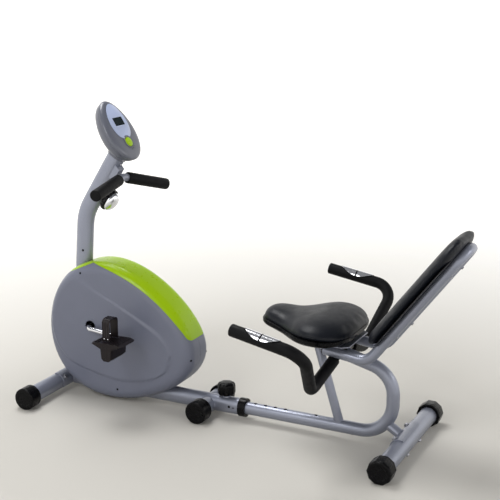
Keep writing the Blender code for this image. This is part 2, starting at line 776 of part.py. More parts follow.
def wheels():
    hub = at(CRANK_STATION, PULLEY_Y, CRANK_Z)
    profile = pulley_profile(PULLEY_RADIUS, 0.007, CRANK_BAR + GAP)
    ringed("drive_pulley", hub, LEFT, profile, "black_plastic", 28, hub)
    centre = at(FLYWHEEL_STATION, 0, FLYWHEEL_Z)
    half = FLYWHEEL_THICKNESS / 2
    profile = [
        (AXLE_RADIUS + 0.0004, PULLEY_Y - 0.008),
        (FLYWHEEL_STEP, PULLEY_Y - 0.008),
        (FLYWHEEL_STEP, PULLEY_Y + 0.008),
        (0.015, PULLEY_Y + 0.010),
        (0.015, -half - 0.004),
        (0.030, -0.004),
        (FLYWHEEL_RADIUS - 0.022, -0.004),
        (FLYWHEEL_RADIUS - 0.022, -half),
        (FLYWHEEL_RADIUS, -half),
        (FLYWHEEL_RADIUS, half),
        (FLYWHEEL_RADIUS - 0.022, half),
        (FLYWHEEL_RADIUS - 0.022, 0.004),
        (0.030, 0.004),
        (0.015, half + 0.002),
        (AXLE_RADIUS + 0.0004, half + 0.002),
    ]
    ringed("flywheel", centre, LEFT, profile, "cast_iron", 30, centre)
    rod("flywheel_axle", centre - LEFT * 0.0605, centre + LEFT * 0.030, AXLE_RADIUS, "steel", 16)


def belt_tangent():
    """Where the belt leaves each pulley, as the angle of its normal, upper and lower."""
    span = Vector((CRANK_STATION - FLYWHEEL_STATION, 0, CRANK_Z - FLYWHEEL_Z))
    lean = math.atan2(span.z, span.x)
    spread = math.acos((FLYWHEEL_STEP - PULLEY_RADIUS) / span.length)
    return lean + spread, lean - spread


def belt():
    """A flat loop round the two pulleys, a hair off each."""
    upper, lower = belt_tangent()
    rings = []
    big = (CRANK_STATION, CRANK_Z, PULLEY_RADIUS, lower, upper, 24)
    small = (FLYWHEEL_STATION, FLYWHEEL_Z, FLYWHEEL_STEP, upper, lower + 2 * math.pi, 10)
    for x, z, radius, first, last, steps in (big, small):
        for i in range(steps + 1):
            angle = first + (last - first) * i / steps
            ray = Vector((math.cos(angle), 0, math.sin(angle)))
            inner = radius / math.cos((last - first) / steps / 2) + GAP
            outer = inner + BELT_THICKNESS
            centre = at(x, PULLEY_Y, z)
            half = BELT_WIDTH / 2
            edges = ((inner, -half), (outer, -half), (outer, half), (inner, half))
            rings.append([centre + ray * r + LEFT * y for r, y in edges])
    solid("drive_belt", *loft(rings, looped=True), "belt_rubber")


def idler_centre():
    """Outside the belt's lower run, just touching it."""
    _, lower = belt_tangent()
    ray = Vector((math.cos(lower), 0, math.sin(lower)))
    along = Vector((-ray.z, 0, ray.x))
    foot = at(FLYWHEEL_STATION, PULLEY_Y, FLYWHEEL_Z) + ray * FLYWHEEL_STEP
    return foot + along * 0.075 + ray * (BELT_THICKNESS + 0.0016 + IDLER_RADIUS)


def idler():
    centre = idler_centre()
    bore = 0.0044
    profile = [(bore, -0.007), (IDLER_RADIUS, -0.007), (IDLER_RADIUS, 0.007), (bore, 0.007)]
    ringed("idler_pulley", centre, LEFT, profile, "black_plastic", 24, centre)
    pin = rod("idler_arm", centre - LEFT * 0.0075, centre + LEFT * 0.016, 0.004, "steel", 12)
    foot = Vector((centre.x, PULLEY_Y + 0.0095, MAIN_Z + MAIN_HEIGHT / 2 + GAP))
    head = Vector((centre.x + 0.008, PULLEY_Y + 0.0145, centre.z + 0.008))
    lever = box("idler_lever_join", foot - Vector((0.008, 0, 0)), head)
    change(pin, lever, "UNION")
    shelf = box("idler_shelf_join", foot - Vector((0.008, 0.0005, 0)), foot + Vector((0.008, 0.030, 0.004)))
    change(pin, shelf, "UNION")


def flywheel_bracket():
    """A forked plate on the main tube that holds the flywheel's axle on both sides."""
    low = MAIN_Z + MAIN_HEIGHT / 2 + GAP
    x = FLYWHEEL_STATION
    foot = box("flywheel_bracket", at(x - 0.006, -0.0585, low), at(x + 0.045, 0.0215, low + 0.004), "steel")
    outline = [
        (x - 0.005, low + 0.001),
        (x + 0.042, low + 0.001),
        (x + 0.014, FLYWHEEL_Z + 0.014),
        (x - 0.014, FLYWHEEL_Z + 0.014),
    ]
    for y in (0.0160, -0.0585):
        change(foot, prism("cheek_join", outline, y, y + 0.0050), "UNION")
    ends = (at(x, -0.08, FLYWHEEL_Z), at(x, 0.05, FLYWHEEL_Z))
    change(foot, rod("axle_hole", *ends, AXLE_RADIUS + GAP, sides=16))


def magnet_arm():
    """A curved magnet carrier that swings in towards the flywheel's rim as the tension rises."""
    first = math.radians(70)
    last = math.radians(140)
    inner = FLYWHEEL_RADIUS + 0.012
    outer = inner + 0.012
    centre = at(FLYWHEEL_STATION, 0, FLYWHEEL_Z)
    rings = []
    steps = 10
    for i in range(steps + 1):
        angle = first + (last - first) * i / steps
        ray = Vector((math.cos(angle), 0, math.sin(angle)))
        edges = ((inner, -0.011), (outer, -0.011), (outer, 0.011), (inner, 0.011))
        rings.append([centre + ray * r + LEFT * y for r, y in edges])
    solid("magnet_arm", *loft(rings), "steel", magnet_pivot())


def magnet_pivot():
    angle = math.radians(70)
    ray = Vector((math.cos(angle), 0, math.sin(angle)))
    return at(FLYWHEEL_STATION, 0, FLYWHEEL_Z) + ray * (FLYWHEEL_RADIUS + 0.018)


def tension_cable():
    """From the knob's housing down inside the post and the stub, then back to the magnet arm."""
    start = placed(knob_base()) + knob_axis() * (POST_DEPTH / 2 - 0.001)
    corners = [
        start,
        placed(knob_base()) + knob_axis() * 0.004,
        placed(POST_BEND),
        stub_line(0.392),
        stub_line(0.372) + FORWARD * -0.030,
        at(FLYWHEEL_STATION + 0.045, 0, 0.352),
    ]
    path = rounded(corners, [0.014, 0.060, 0.008, 0.030], 5)
    bent_rod("tension_cable", path, 0.0022, "black_plastic", 6)


# ---------------------------------------------------------------- pedals


def pedal_centre(side):
    hub = at(CRANK_STATION, side * PEDAL_Y, CRANK_Z)
    return hub + crank_direction() * CRANK_LENGTH * side


def pedal(side, word):
    centre = pedal_centre(side)
    outline = [
        (-0.050, 0.012),
        (-0.036, 0.020),
        (0.036, 0.020),
        (0.050, 0.012),
        (0.034, 0.000),
        (0.024, -0.030),
        (0.010, -0.040),
        (-0.010, -0.040),
        (-0.024, -0.030),
        (-0.034, 0.000),
    ]
    rings = []
    for share, scale in ((-1.0, 0.90), (-0.6, 1.0), (0.6, 1.0), (1.0, 0.90)):
        rings.append([centre + Vector((x * scale, share * PEDAL_HALF, z)) for x, z in outline])
    body = solid(word + "_pedal", *loft(rings), "black_plastic", centre)
    inward = -side
    start = centre + LEFT * inward * (PEDAL_HALF + 0.02)
    depth = centre - LEFT * inward * 0.036
    change(body, rod("spindle_bore_" + word, start, depth, SPINDLE_RADIUS + 0.0004, sides=16))
    arm_face = at(0, side * (CRANK_REACH + CRANK_BAR + 0.0005), 0).y
    inner_end = Vector((centre.x, arm_face, centre.z))
    rod(word + "_pedal_spindle", inner_end, centre - LEFT * inward * 0.0355, SPINDLE_RADIUS, "steel", 16)
    strap(side, word, centre)


def strap(side, word, centre):
    """A band that stands on the pedal's top and arches across the foot."""
    foot = 0.0205
    out = STRAP_HALF - STRAP_THICKNESS / 2
    middle = centre + FORWARD * STRAP_FORWARD
    corners = [
        middle + Vector((0, -out, foot)),
        middle + Vector((0, -out, STRAP_RISE)),
        middle + Vector((0, out, STRAP_RISE)),
        middle + Vector((0, out, foot)),
    ]
    path = rounded(corners, [0.012, 0.012], 5)
    half_w = STRAP_WIDTH / 2
    half_t = STRAP_THICKNESS / 2
    section = [(-half_t, -half_w), (half_t, -half_w), (half_t, half_w), (-half_t, half_w)]
    solid(word + "_pedal_strap", *loft(swept(path, section, FORWARD)), "black_plastic", centre)


# ---------------------------------------------------------------- seat carriage


def seat_loop_path():
    """The slide tube's line: along the floor, up round the back and forward under the saddle."""
    slope = math.tan(math.radians(14.3))
    rise = 0.260 - (0.140 - LOOP_REAR) * slope
    corners = [
        at(SLIDE_FRONT, 0, MAIN_Z),
        at(LOOP_REAR, 0, MAIN_Z),
        at(LOOP_REAR, 0, rise),
        at(0.300, 0, rise + (0.300 - LOOP_REAR) * slope),
    ]
    return rounded(corners, [LOOP_BEND, LOOP_UPPER_BEND], 8)


def pin_holes():
    """One hole for each place of the seat, and one that is left over from the tube's jig."""
    cutters = []
    for step in (2, 1, 0, -1, -2, -3, -4, -5, -6, -9):
        low = at(PIN_STATION + PIN_PITCH * step, 0, MAIN_Z + 0.009)
        cutters.append(rod("pin_hole_cut", low, low + UP * 0.021, PIN_RADIUS + 0.0006, sides=8))
    return cutters


def seat_frame():
    tube = round_tube("seat_frame_tube", seat_loop_path(), SLIDE_RADIUS, SLIDE_WALL, 14, LEFT)
    for cutter in pin_holes():
        change(tube, cutter)
    strut = round_tube("seat_strut", [at(0.215, 0, MAIN_Z), at(0.287, 0, 0.283)], 0.014, THIN_WALL, 14)
    change(strut, loop_envelope())


def loop_envelope():
    """The slide tube's outside with a hair of clearance, to cut what is welded to it."""
    found = bpy.data.objects.get("loop_envelope")
    if found:
        return found
    return solid("loop_envelope", *loft(swept(seat_loop_path(), circle(SLIDE_RADIUS + GAP, 14))))


def back_up():
    return Vector((-math.cos(BACK_ANGLE), 0, math.sin(BACK_ANGLE)))


def back_out():
    """Square to the backrest, towards the rider."""
    return Vector((math.sin(BACK_ANGLE), 0, math.cos(BACK_ANGLE)))


def backrest_path():
    """From the front of the left rail, up over the narrower top and down to the front of the right one."""
    foot = placed(BACK_FOOT)
    top = foot + back_up() * BACK_LENGTH
    front = at(0.240, 0, 0.3065)
    half = [front + LEFT * RAIL_Y, foot + LEFT * RAIL_Y, top + LEFT * BACK_TOP_Y]
    other = [Vector((p.x, -p.y, p.z)) for p in reversed(half)]
    return rounded([*half, *other], [0.055, BACK_TOP_Y - 0.005, BACK_TOP_Y - 0.005, 0.055], 5)


def backrest():
    round_tube("backrest_tube", backrest_path(), RAIL_RADIUS, THIN_WALL, 12)
    rings = []
    shape = ((0.046, 0.085, 0.50), (0.056, 0.112, 0.85), (0.095, 0.130, 1.0), (0.250, 0.135, 1.0))
    shape += ((0.395, 0.126, 1.0), (0.444, 0.108, 0.85), (0.464, 0.080, 0.50))
    for up, half, fat in shape:
        centre = placed(BACK_FOOT) + back_up() * up + back_out() * (0.004 + PAD_THICKNESS / 2)
        thick = PAD_THICKNESS / 2
        section = ellipse(half, thick * fat * 1.25, 24)
        limit = thick * fat
        rings.append([centre + LEFT * a + back_out() * max(-limit, min(limit, b)) for a, b in section])
    pad = solid("backrest_pad", *loft(rings), "vinyl")
    change(pad, solid("rail_groove", *loft(swept(backrest_path(), circle(RAIL_RADIUS + 0.0015, 12), UP))))


def saddle_section(station, half, low, high):
    """A slice across the saddle: nearly flat beneath, domed on top."""
    points = []
    for i in range(18):
        angle = 2 * math.pi * i / 18
        above = math.sin(angle) > 0
        y = half * math.copysign(abs(math.cos(angle)) ** (0.85 if above else 0.6), math.cos(angle))
        lift = math.copysign(abs(math.sin(angle)) ** (0.9 if above else 0.6), math.sin(angle))
        edge = low + (high - low) * 0.42
        points.append(at(station, y, edge + lift * (high - edge if above else edge - low)))
    return points


SADDLE_SLICES = (
    (0.462, 0.022, 0.352, 0.384),
    (0.455, 0.042, 0.345, 0.392),
    (0.435, 0.060, 0.340, 0.397),
    (0.405, 0.074, 0.335, 0.396),
    (0.372, 0.092, 0.331, 0.393),
    (0.340, 0.118, 0.328, 0.394),
    (0.308, 0.146, 0.3275, 0.398),
    (0.275, 0.165, 0.3275, 0.402),
    (0.242, 0.170, 0.3275, 0.402),
    (0.212, 0.162, 0.3275, 0.398),
    (0.188, 0.143, 0.330, 0.391),
    (0.170, 0.112, 0.334, 0.382),
    (0.160, 0.075, 0.341, 0.372),
)


def saddle():
    solid("saddle", *loft([saddle_section(*row) for row in SADDLE_SLICES]), "vinyl")
    outline = [(0.160, 0.075), (0.180, 0.092), (0.235, 0.092), (0.330, 0.040)]
    outline += [(x, -y) for x, y in reversed(outline)]
    rings = [[at(x, y, z) for x, y in outline] for z in (SADDLE_BASE - 0.0043, SADDLE_BASE - 0.0005)]
    support = solid("saddle_plate", *loft(rings), "grey_paint")
    web = box("plate_web_join", at(0.226, -0.012, 0.286), at(0.290, 0.012, SADDLE_BASE - 0.002))
    change(support, web, "UNION")
    change(support, loop_envelope())


def handle_path():
    half = [at(0.402, 0.357, 0.428), at(0.177, 0.366, 0.387), at(0.222, 0.215, 0.228)]
    middle = at(0.205, 0, 0.2995)
    other = [Vector((p.x, -p.y, p.z)) for p in reversed(half)]
    return [*half, middle, *other]


def seat_handles():
    corners = handle_path()
    radii = [0.055, 0.045, 0.030, 0.045, 0.055]
    path = rounded(corners, radii, 5)
    ends_in = shorten(path, 0.004, 0.004)
    bar = round_tube("seat_handlebar", ends_in, HANDLE_RADIUS, THIN_WALL, 10, UP, "black_plastic")
    change(bar, loop_envelope())
    change(bar, solid("rail_envelope", *loft(swept(backrest_path(), circle(RAIL_RADIUS + GAP, 12), UP))))
    for side, word in ((1, "left"), (-1, "right")):
        own = corners if side > 0 else list(reversed(corners))
        end = own[2] + (own[3] - own[2]) * 0.50
        grip = rounded([own[0], own[1], own[2], end], [0.055, 0.045], 5)
        outer = swept(grip, circle(FOAM_RADIUS, 12), UP)
        inner = swept(shorten(grip, 0.003, -0.001), circle(HANDLE_RADIUS + 0.0009, 12), UP)
        solid("seat_grip_" + word, *loft([*inner, *reversed(outer)]), "foam")
        pulse_sensor(own[0], own[1], word)


def pulse_sensor(tip, bend, word):
    """A leaf-shaped plate that lies along the top of the grip."""
    along = (bend - tip).normalized()
    side, rise = cross_frame(along)
    if rise.z < 0:
        rise = -rise
    rings = []
    for i in range(9):
        t = i / 8
        reach = math.radians(12 + 58 * math.sin(math.pi * t) ** 0.8)
        centre = tip + along * (0.044 + 0.105 * t)
        arc = [reach * (k / 3 - 1) for k in range(7)]
        ring = [centre + (side * math.sin(a) + rise * math.cos(a)) * 0.0208 for a in arc]
        ring += [centre + (side * math.sin(a) + rise * math.cos(a)) * 0.0187 for a in reversed(arc)]
        rings.append(ring)
    solid("pulse_sensor_" + word, *loft(rings), "chrome_plate")


def seat_pin():
    """The knob that is lifted to free the seat. It is drawn lifted, its pin clear of the slide tube."""
    base = at(PIN_STATION, 0, MAIN_Z + SLIDE_RADIUS + 0.0005)
    top = MAIN_Z + MAIN_HEIGHT / 2
    low = top + PIN_LIFT + 0.0006 - base.z
    profile = [
        (PIN_RADIUS, 0),
        (PIN_RADIUS, low + 0.012),
        (0.0150, low + 0.012),
        (0.0150, low),
        (0.0265, low),
        (0.0290, low + 0.006),
        (0.0290, low + 0.028),
        (0.0270, low + 0.035),
        (0.0180, low + 0.0385),
    ]
    turned("seat_pin_knob", base, UP, profile, "black_plastic", 16, False, base)


def main():
    clear_scene()
    main_frame()
    stabilisers()
    sleeve_collar()
    seat_frame()
    cradles()
    post()
    post_stub()
    bottom_bracket()
    tension_parts()
    front_bar()
    handlebar_clamp()
    console()
    shroud()
    crank()
    wheels()
    belt()
    idler()
    flywheel_bracket()
    magnet_arm()
    tension_cable()
    for side, word in ((1, "left"), (-1, "right")):
        pedal(side, word)
    backrest()
    saddle()
    seat_handles()
    seat_pin()


main()
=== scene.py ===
"""The looks of a recumbent exercise bike, built round its fixed CAD frame.

Metres, +Z up. +X is the way the rider faces and +Y is the rider's left. Places along the bike are
stations: distances ahead of the rear stabiliser's axis.
"""

import math

import bmesh
import bpy
import numpy as np
from mathutils import Matrix, Vector


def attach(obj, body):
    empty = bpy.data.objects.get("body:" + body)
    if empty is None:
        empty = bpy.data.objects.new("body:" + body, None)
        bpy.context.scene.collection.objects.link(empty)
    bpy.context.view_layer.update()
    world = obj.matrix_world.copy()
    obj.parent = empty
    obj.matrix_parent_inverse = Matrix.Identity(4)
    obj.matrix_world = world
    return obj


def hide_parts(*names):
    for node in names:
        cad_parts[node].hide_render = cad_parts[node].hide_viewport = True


bl_info = {
    "name": "Exercise Bike Looks",
    "version": (1, 0, 0),
    "blender": (4, 5, 0),
    "location": "View3D > Sidebar > Bike",
    "description": "Builds the finished pieces of a recumbent exercise bike over its frame",
    "category": "Object",
}

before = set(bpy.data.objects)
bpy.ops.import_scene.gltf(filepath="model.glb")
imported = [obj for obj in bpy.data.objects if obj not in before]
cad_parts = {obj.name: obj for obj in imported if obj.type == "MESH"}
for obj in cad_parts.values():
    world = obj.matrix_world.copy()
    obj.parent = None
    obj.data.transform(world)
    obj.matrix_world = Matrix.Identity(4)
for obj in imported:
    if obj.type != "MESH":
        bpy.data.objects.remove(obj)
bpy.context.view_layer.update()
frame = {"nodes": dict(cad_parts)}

ORIGIN_STATION = 0.5469
UP = Vector((0, 0, 1))
LEFT = Vector((0, 1, 0))
FORWARD = Vector((1, 0, 0))

# Floor frame
MAIN_Z = 0.041
STABILISER_Z = 0.036
STABILISERS = {"front": 1.214, "middle": 0.661, "rear": 0.0}
CAP_LENGTH = 0.046
PIN_STATION = 0.603
PIN_PITCH = 0.0345

# Post, tension knob and front bar
POST_BASE = Vector((1.134, 0.0, 0.405))
POST_BEND = Vector((1.117, 0.0, 0.617))
POST_TOP = Vector((0.985, 0.0, 0.8235))
POST_HALF = (0.021, 0.030)
BAR_MIDDLE = Vector((0.9675, 0.0, 0.7475))
BAR_LEFT = Vector((0.9465, 0.1945, 0.7225))
BAR_RIGHT = Vector((0.9110, -0.1695, 0.7002))

# Drive cover
EGG_CENTRE = Vector((0.9700, 0.0, 0.2290))
EGG_LENGTH = 0.2765
EGG_HEIGHT = 0.2250
EGG_TILT = math.radians(9.8)
EGG_BLUNTNESS = 0.23
COVER_HALF = 0.066
COVER_ROUND = 0.036
COVER_WALL = 0.003
RIDGE = (
    (1.138, 0.419), (1.055, 0.380), (0.968, 0.341), (0.873, 0.295), (0.803, 0.254), (0.771, 0.208),
    (0.781, 0.154), (0.815, 0.118), (0.878, 0.095), (0.976, 0.085), (1.076, 0.100), (1.151, 0.123),
    (1.200, 0.170), (1.222, 0.240), (1.216, 0.315), (1.185, 0.385),
)

# Crank and pedals
CRANK = Vector((1.068, 0.0, 0.255))
CRANK_LENGTH = 0.1515
CRANK_DROP = math.radians(5.3)
CRANK_REACH = 0.100
PEDAL_Y = 0.166

# Seat carriage
LOOP_REAR = 0.0475
RAIL_Y = 0.074
BACK_ANGLE = math.radians(52.9)
BACK_LENGTH = 0.4376
BACK_FOOT = Vector((0.104, 0.0, 0.289))
BACK_TOP_Y = 0.052
SADDLE_SLICES = (
    (0.462, 0.022, 0.352, 0.384), (0.455, 0.042, 0.345, 0.392), (0.435, 0.060, 0.340, 0.397),
    (0.405, 0.074, 0.335, 0.396), (0.372, 0.092, 0.331, 0.393), (0.340, 0.118, 0.328, 0.394),
    (0.308, 0.146, 0.3275, 0.398), (0.275, 0.165, 0.3275, 0.402), (0.242, 0.170, 0.3275, 0.402),
    (0.212, 0.162, 0.3275, 0.398), (0.188, 0.143, 0.330, 0.391), (0.170, 0.112, 0.334, 0.382),
    (0.160, 0.075, 0.341, 0.372),
)

# The share of the saddle's height that its pan takes up
SADDLE_LIP = 0.40

# Console
CONSOLE_CENTRE = Vector((0.984, 0.0, 0.8925))
CONSOLE_LEAN = math.radians(32)
CONSOLE_HALF = (0.075, 0.104)

# Camera, from a point behind the rider's left shoulder
CAMERA_PLACE = Vector((-1.4642, 2.9103, 1.3946))
CAMERA_YAW = 0.4586
CAMERA_PITCH = 0.2521
CAMERA_ROLL = 0.0
CAMERA_LENS = 79.16

SKIN = {}


# ---------------------------------------------------------------- sizes and colours


def length(name, default, description):
    return bpy.props.FloatProperty(
        name=name, description=description, default=default, min=0.0, subtype="DISTANCE", unit="LENGTH"
    )


def paint(name, hex_colour, description):
    return bpy.props.StringProperty(name=name, description=description, default=hex_colour)


class BikeSizes(bpy.types.PropertyGroup):
    """Sizes of the details that lie over the frame."""

    bar_radius: length("Bar radius", 0.0125, "Outside radius of the front and side handlebars")
    front_foam: length("Front grip radius", 0.0185, "Outside radius of the two front foam grips")
    side_foam: length("Side grip radius", 0.0180, "Outside radius of the two side foam grips")
    rail_radius: length("Backrest rail radius", 0.0155, "Outside radius of the backrest tube")
    slide_radius: length("Slide tube radius", 0.0200, "Outside radius of the seat's slide tube")
    strut_radius: length("Strut radius", 0.0140, "Outside radius of the seat strut")
    stabiliser_radius: length("Stabiliser radius", 0.0270, "Outside radius of the floor tubes")
    cap_radius: length("Cap radius", 0.0360, "Flat-to-axis distance of the stabiliser caps")
    weld_radius: length("Weld radius", 0.0022, "Half the width of a weld bead")
    ridge_height: length("Cover ridge height", 0.0055, "How far the oval panel stands off the drive cover")
    ridge_width: length("Cover ridge width", 0.0070, "How wide the slope round the oval panel is")
    bolt_head: length("Bolt head radius", 0.0075, "Corner radius of a bolt's hexagon head")
    cushion_rise: length("Cushion rise", 0.0070, "Most that padding may swell out of its cut shape")
    voxel: length("Cushion mesh size", 0.0050, "Edge of the voxels that the cushions are remeshed with")


class BikeColours(bpy.types.PropertyGroup):
    """sRGB colours of the finishes, as hex values."""

    frame: paint("Frame", "#888c9a", "Metallic grey powder coat on the tubes")
    cover: paint("Drive cover", "#666a7a", "Grey ABS of the drive cover")
    console: paint("Console", "#585b66", "Silver-grey ABS of the console")
    lime: paint("Lime", "#93b600", "Lime ABS of the top cover and the button")
    black: paint("Black plastic", "#060608", "Black polypropylene of the caps and knobs")
    pedal: paint("Pedal", "#140d10", "Brown-black polypropylene of the pedals")
    vinyl: paint("Vinyl", "#10131a", "Upholstery vinyl of the saddle and the backrest")
    foam: paint("Foam", "#0b0b0d", "Closed-cell foam of the grips")
    panel: paint("Panel", "#a3aecb", "Printed film of the console's panel")
    screen: paint("Screen", "#06161a", "Display window")
    steel: paint("Zinc", "#a9aab0", "Zinc-plated fasteners")
    chrome: paint("Chrome", "#d9dade", "Chromed steel")
    floor: paint("Floor", "#cdcac3", "Studio floor")


# ---------------------------------------------------------------- materials


def linear(hex_colour):
    """An sRGB hex value as linear RGBA."""
    digits = hex_colour.lstrip("#")
    shares = [int(digits[i : i + 2], 16) / 255 for i in (0, 2, 4)]
    return (*[s / 12.92 if s <= 0.04045 else ((s + 0.055) / 1.055) ** 2.4 for s in shares], 1.0)


def shade(colour, factor):
    return (*[min(1.0, c * factor) for c in colour[:3]], 1.0)


def add(tree, kind, inputs=None, **settings):
    """Adds a node with its settings. An input given as another node's socket is linked."""
    made = tree.nodes.new(kind)
    for key, value in settings.items():
        setattr(made, key, value)
    for key, value in (inputs or {}).items():
        if isinstance(value, bpy.types.NodeSocket):
            tree.links.new(value, made.inputs[key])
        else:
            made.inputs[key].default_value = value
    return made


def finish(name, inputs):
    """A new material, its tree, its shader, and the socket of its object coordinates."""
    made = bpy.data.materials.new(name)
    made.use_nodes = True
    tree = made.node_tree
    shader = tree.nodes["Principled BSDF"]
    for key, value in inputs.items():
        shader.inputs[key].default_value = value
    place = add(tree, "ShaderNodeTexCoord").outputs["Object"]
    return made, tree, shader, place


def join(tree, output, shader, socket):
    tree.links.new(output, shader.inputs[socket])


def per(millimetres):
    """A texture scale, in repeats per metre, from one repeat's size."""
    return 1000.0 / millimetres


def mottle(tree, shader, place, colour, size_mm, spread):
    """Slow colour variation of a moulded or coated surface."""
    cloud = add(
        tree, "ShaderNodeTexNoise",
        {"Vector": place, "Scale": per(size_mm), "Detail": 3.0, "Roughness": 0.55},
    )
    mixed = add(
        tree, "ShaderNodeMix",
        {"Factor": cloud.outputs["Fac"], "A": shade(colour, 1 - spread), "B": shade(colour, 1 + spread)},
        data_type="RGBA",
    )
    join(tree, mixed.outputs["Result"], shader, "Base Color")


def uneven(tree, shader, place, size_mm, low, high):
    """Roughness that wanders between two values, as handling and dust leave it."""
    cloud = add(
        tree, "ShaderNodeTexNoise",
        {"Vector": place, "Scale": per(size_mm), "Detail": 5.0, "Roughness": 0.6},
    )
    spread = add(
        tree, "ShaderNodeMapRange",
        {"Value": cloud.outputs["Fac"], "From Min": 0.3, "From Max": 0.7, "To Min": low, "To Max": high},
    )
    join(tree, spread.outputs["Result"], shader, "Roughness")


def relief(tree, shader, height, depth_mm, strength=1.0):
    depth = depth_mm / 1000
    bump = add(tree, "ShaderNodeBump", {"Height": height, "Distance": depth, "Strength": strength})
    join(tree, bump.outputs["Normal"], shader, "Normal")


def powder_coated_steel(colour):
    """Powder coat: fine metallic flakes under a satin skin with a faint orange peel."""
    base = linear(colour)
    inputs = {"Metallic": 0.55, "Coat Weight": 0.25, "Coat Roughness": 0.2}
    made, tree, shader, place = finish("Powder coated steel, metallic grey", inputs)
    flakes = add(tree, "ShaderNodeTexVoronoi", {"Vector": place, "Scale": per(1.1)})
    mixed = add(
        tree, "ShaderNodeMix",
        {"Factor": flakes.outputs["Color"], "A": shade(base, 0.93), "B": shade(base, 1.07)},
        data_type="RGBA",
    )
    join(tree, mixed.outputs["Result"], shader, "Base Color")
    uneven(tree, shader, place, 35, 0.32, 0.42)
    peel = add(tree, "ShaderNodeTexNoise", {"Vector": place, "Scale": per(2.2), "Detail": 2.0})
    relief(tree, shader, peel.outputs["Fac"], 0.05)
    return made


def moulded_plastic(name, colour, roughness, grain_mm, grain_depth_mm, coat=0.0, spread=0.05, gloss=0.5):
    """Injection-moulded plastic: spark-eroded grain and a slow drift in tone and gloss."""
    inputs = {"Coat Weight": coat, "Coat Roughness": 0.08, "Specular IOR Level": gloss}
    made, tree, shader, place = finish(name, inputs)
    mottle(tree, shader, place, linear(colour), 60, spread)
    uneven(tree, shader, place, 25, roughness - 0.05, roughness + 0.06)
    grain = add(
        tree, "ShaderNodeTexNoise",
        {"Vector": place, "Scale": per(grain_mm), "Detail": 4.0, "Roughness": 0.7},
    )
    relief(tree, shader, grain.outputs["Fac"], grain_depth_mm)
    return made


def plated(name, colour, roughness, scratch_mm=3.0):
    """Plated metal: bright, with hairline scuffs that only move the gloss."""
    made, tree, shader, place = finish(name, {"Metallic": 1.0})
    mottle(tree, shader, place, linear(colour), 18, 0.05)
    stretched = add(tree, "ShaderNodeMapping", {"Vector": place, "Scale": (1.0, 9.0, 1.0)})
    scuffs = add(
        tree, "ShaderNodeTexNoise",
        {"Vector": stretched.outputs["Vector"], "Scale": per(scratch_mm), "Detail": 6.0, "Roughness": 0.7},
    )
    limits = {"From Min": 0.3, "From Max": 0.75, "To Min": roughness, "To Max": roughness + 0.14}
    spread = add(tree, "ShaderNodeMapRange", {"Value": scuffs.outputs["Fac"], **limits})
    join(tree, spread.outputs["Result"], shader, "Roughness")
    return made


def turned_cast_iron():
    """Turned cast iron: dark, oiled, with the tool's fine rings as noise."""
    made, tree, shader, place = finish("Cast iron, turned and oiled", {"Metallic": 0.9})
    mottle(tree, shader, place, linear("#5a5a5c"), 8, 0.15)
    uneven(tree, shader, place, 6, 0.38, 0.55)
    return made


def upholstery_vinyl(colour):
    """Embossed PVC on foam: pebbled grain of about 1.6 mm, drawn that coarse so that it still shows."""
    made, tree, shader, place = finish("PVC upholstery, embossed", {"Specular IOR Level": 0.2})
    mottle(tree, shader, place, linear(colour), 45, 0.12)
    uneven(tree, shader, place, 30, 0.36, 0.48)
    pebbles = add(tree, "ShaderNodeTexVoronoi", {"Vector": place, "Scale": per(1.6)}, feature="SMOOTH_F1")
    folds = add(
        tree, "ShaderNodeTexNoise",
        {"Vector": place, "Scale": per(45), "Detail": 2.0, "Roughness": 0.5},
    )
    height = add(
        tree, "ShaderNodeMath",
        {0: pebbles.outputs["Distance"], 1: folds.outputs["Fac"]},
        operation="ADD",
    )
    relief(tree, shader, height.outputs["Value"], 0.14, 0.7)
    return made


def closed_cell_foam(colour):
    """Extruded NBR foam: a skin of open pores about 0.9 mm apart, which leave it nearly without gloss."""
    made, tree, shader, place = finish("NBR foam, extruded", {"Specular IOR Level": 0.12})
    mottle(tree, shader, place, linear(colour), 12, 0.15)
    uneven(tree, shader, place, 15, 0.50, 0.62)
    pores = add(tree, "ShaderNodeTexVoronoi", {"Vector": place, "Scale": per(0.9)})
    relief(tree, shader, pores.outputs["Distance"], 0.12, 0.7)
    return made


def printed_film(colour):
    """Polyester overlay, screen printed: even, satin, with a very fine tooth."""
    inputs = {"IOR": 1.5, "Coat Weight": 0.3, "Coat Roughness": 0.15}
    made, tree, shader, place = finish("Polyester film, screen printed", inputs)
    mottle(tree, shader, place, linear(colour), 30, 0.03)
    uneven(tree, shader, place, 20, 0.28, 0.34)
    tooth = add(tree, "ShaderNodeTexNoise", {"Vector": place, "Scale": per(0.8)})
    relief(tree, shader, tooth.outputs["Fac"], 0.02)
    return made


def acrylic_window(colour):
    """Tinted acrylic over a display: almost black, smooth, and low in glare."""
    made, tree, shader, place = finish("Acrylic, tinted and polished", {"Specular IOR Level": 0.25})
    mottle(tree, shader, place, linear(colour), 10, 0.10)
    uneven(tree, shader, place, 25, 0.06, 0.12)
    return made


def drive_rubber():
    """Ribbed EPDM: dull black, with a random drift in tone."""
    made, tree, shader, place = finish("EPDM rubber, ribbed", {"IOR": 1.5})
    mottle(tree, shader, place, linear("#1c1c1d"), 10, 0.15)
    uneven(tree, shader, place, 10, 0.65, 0.78)
    return made


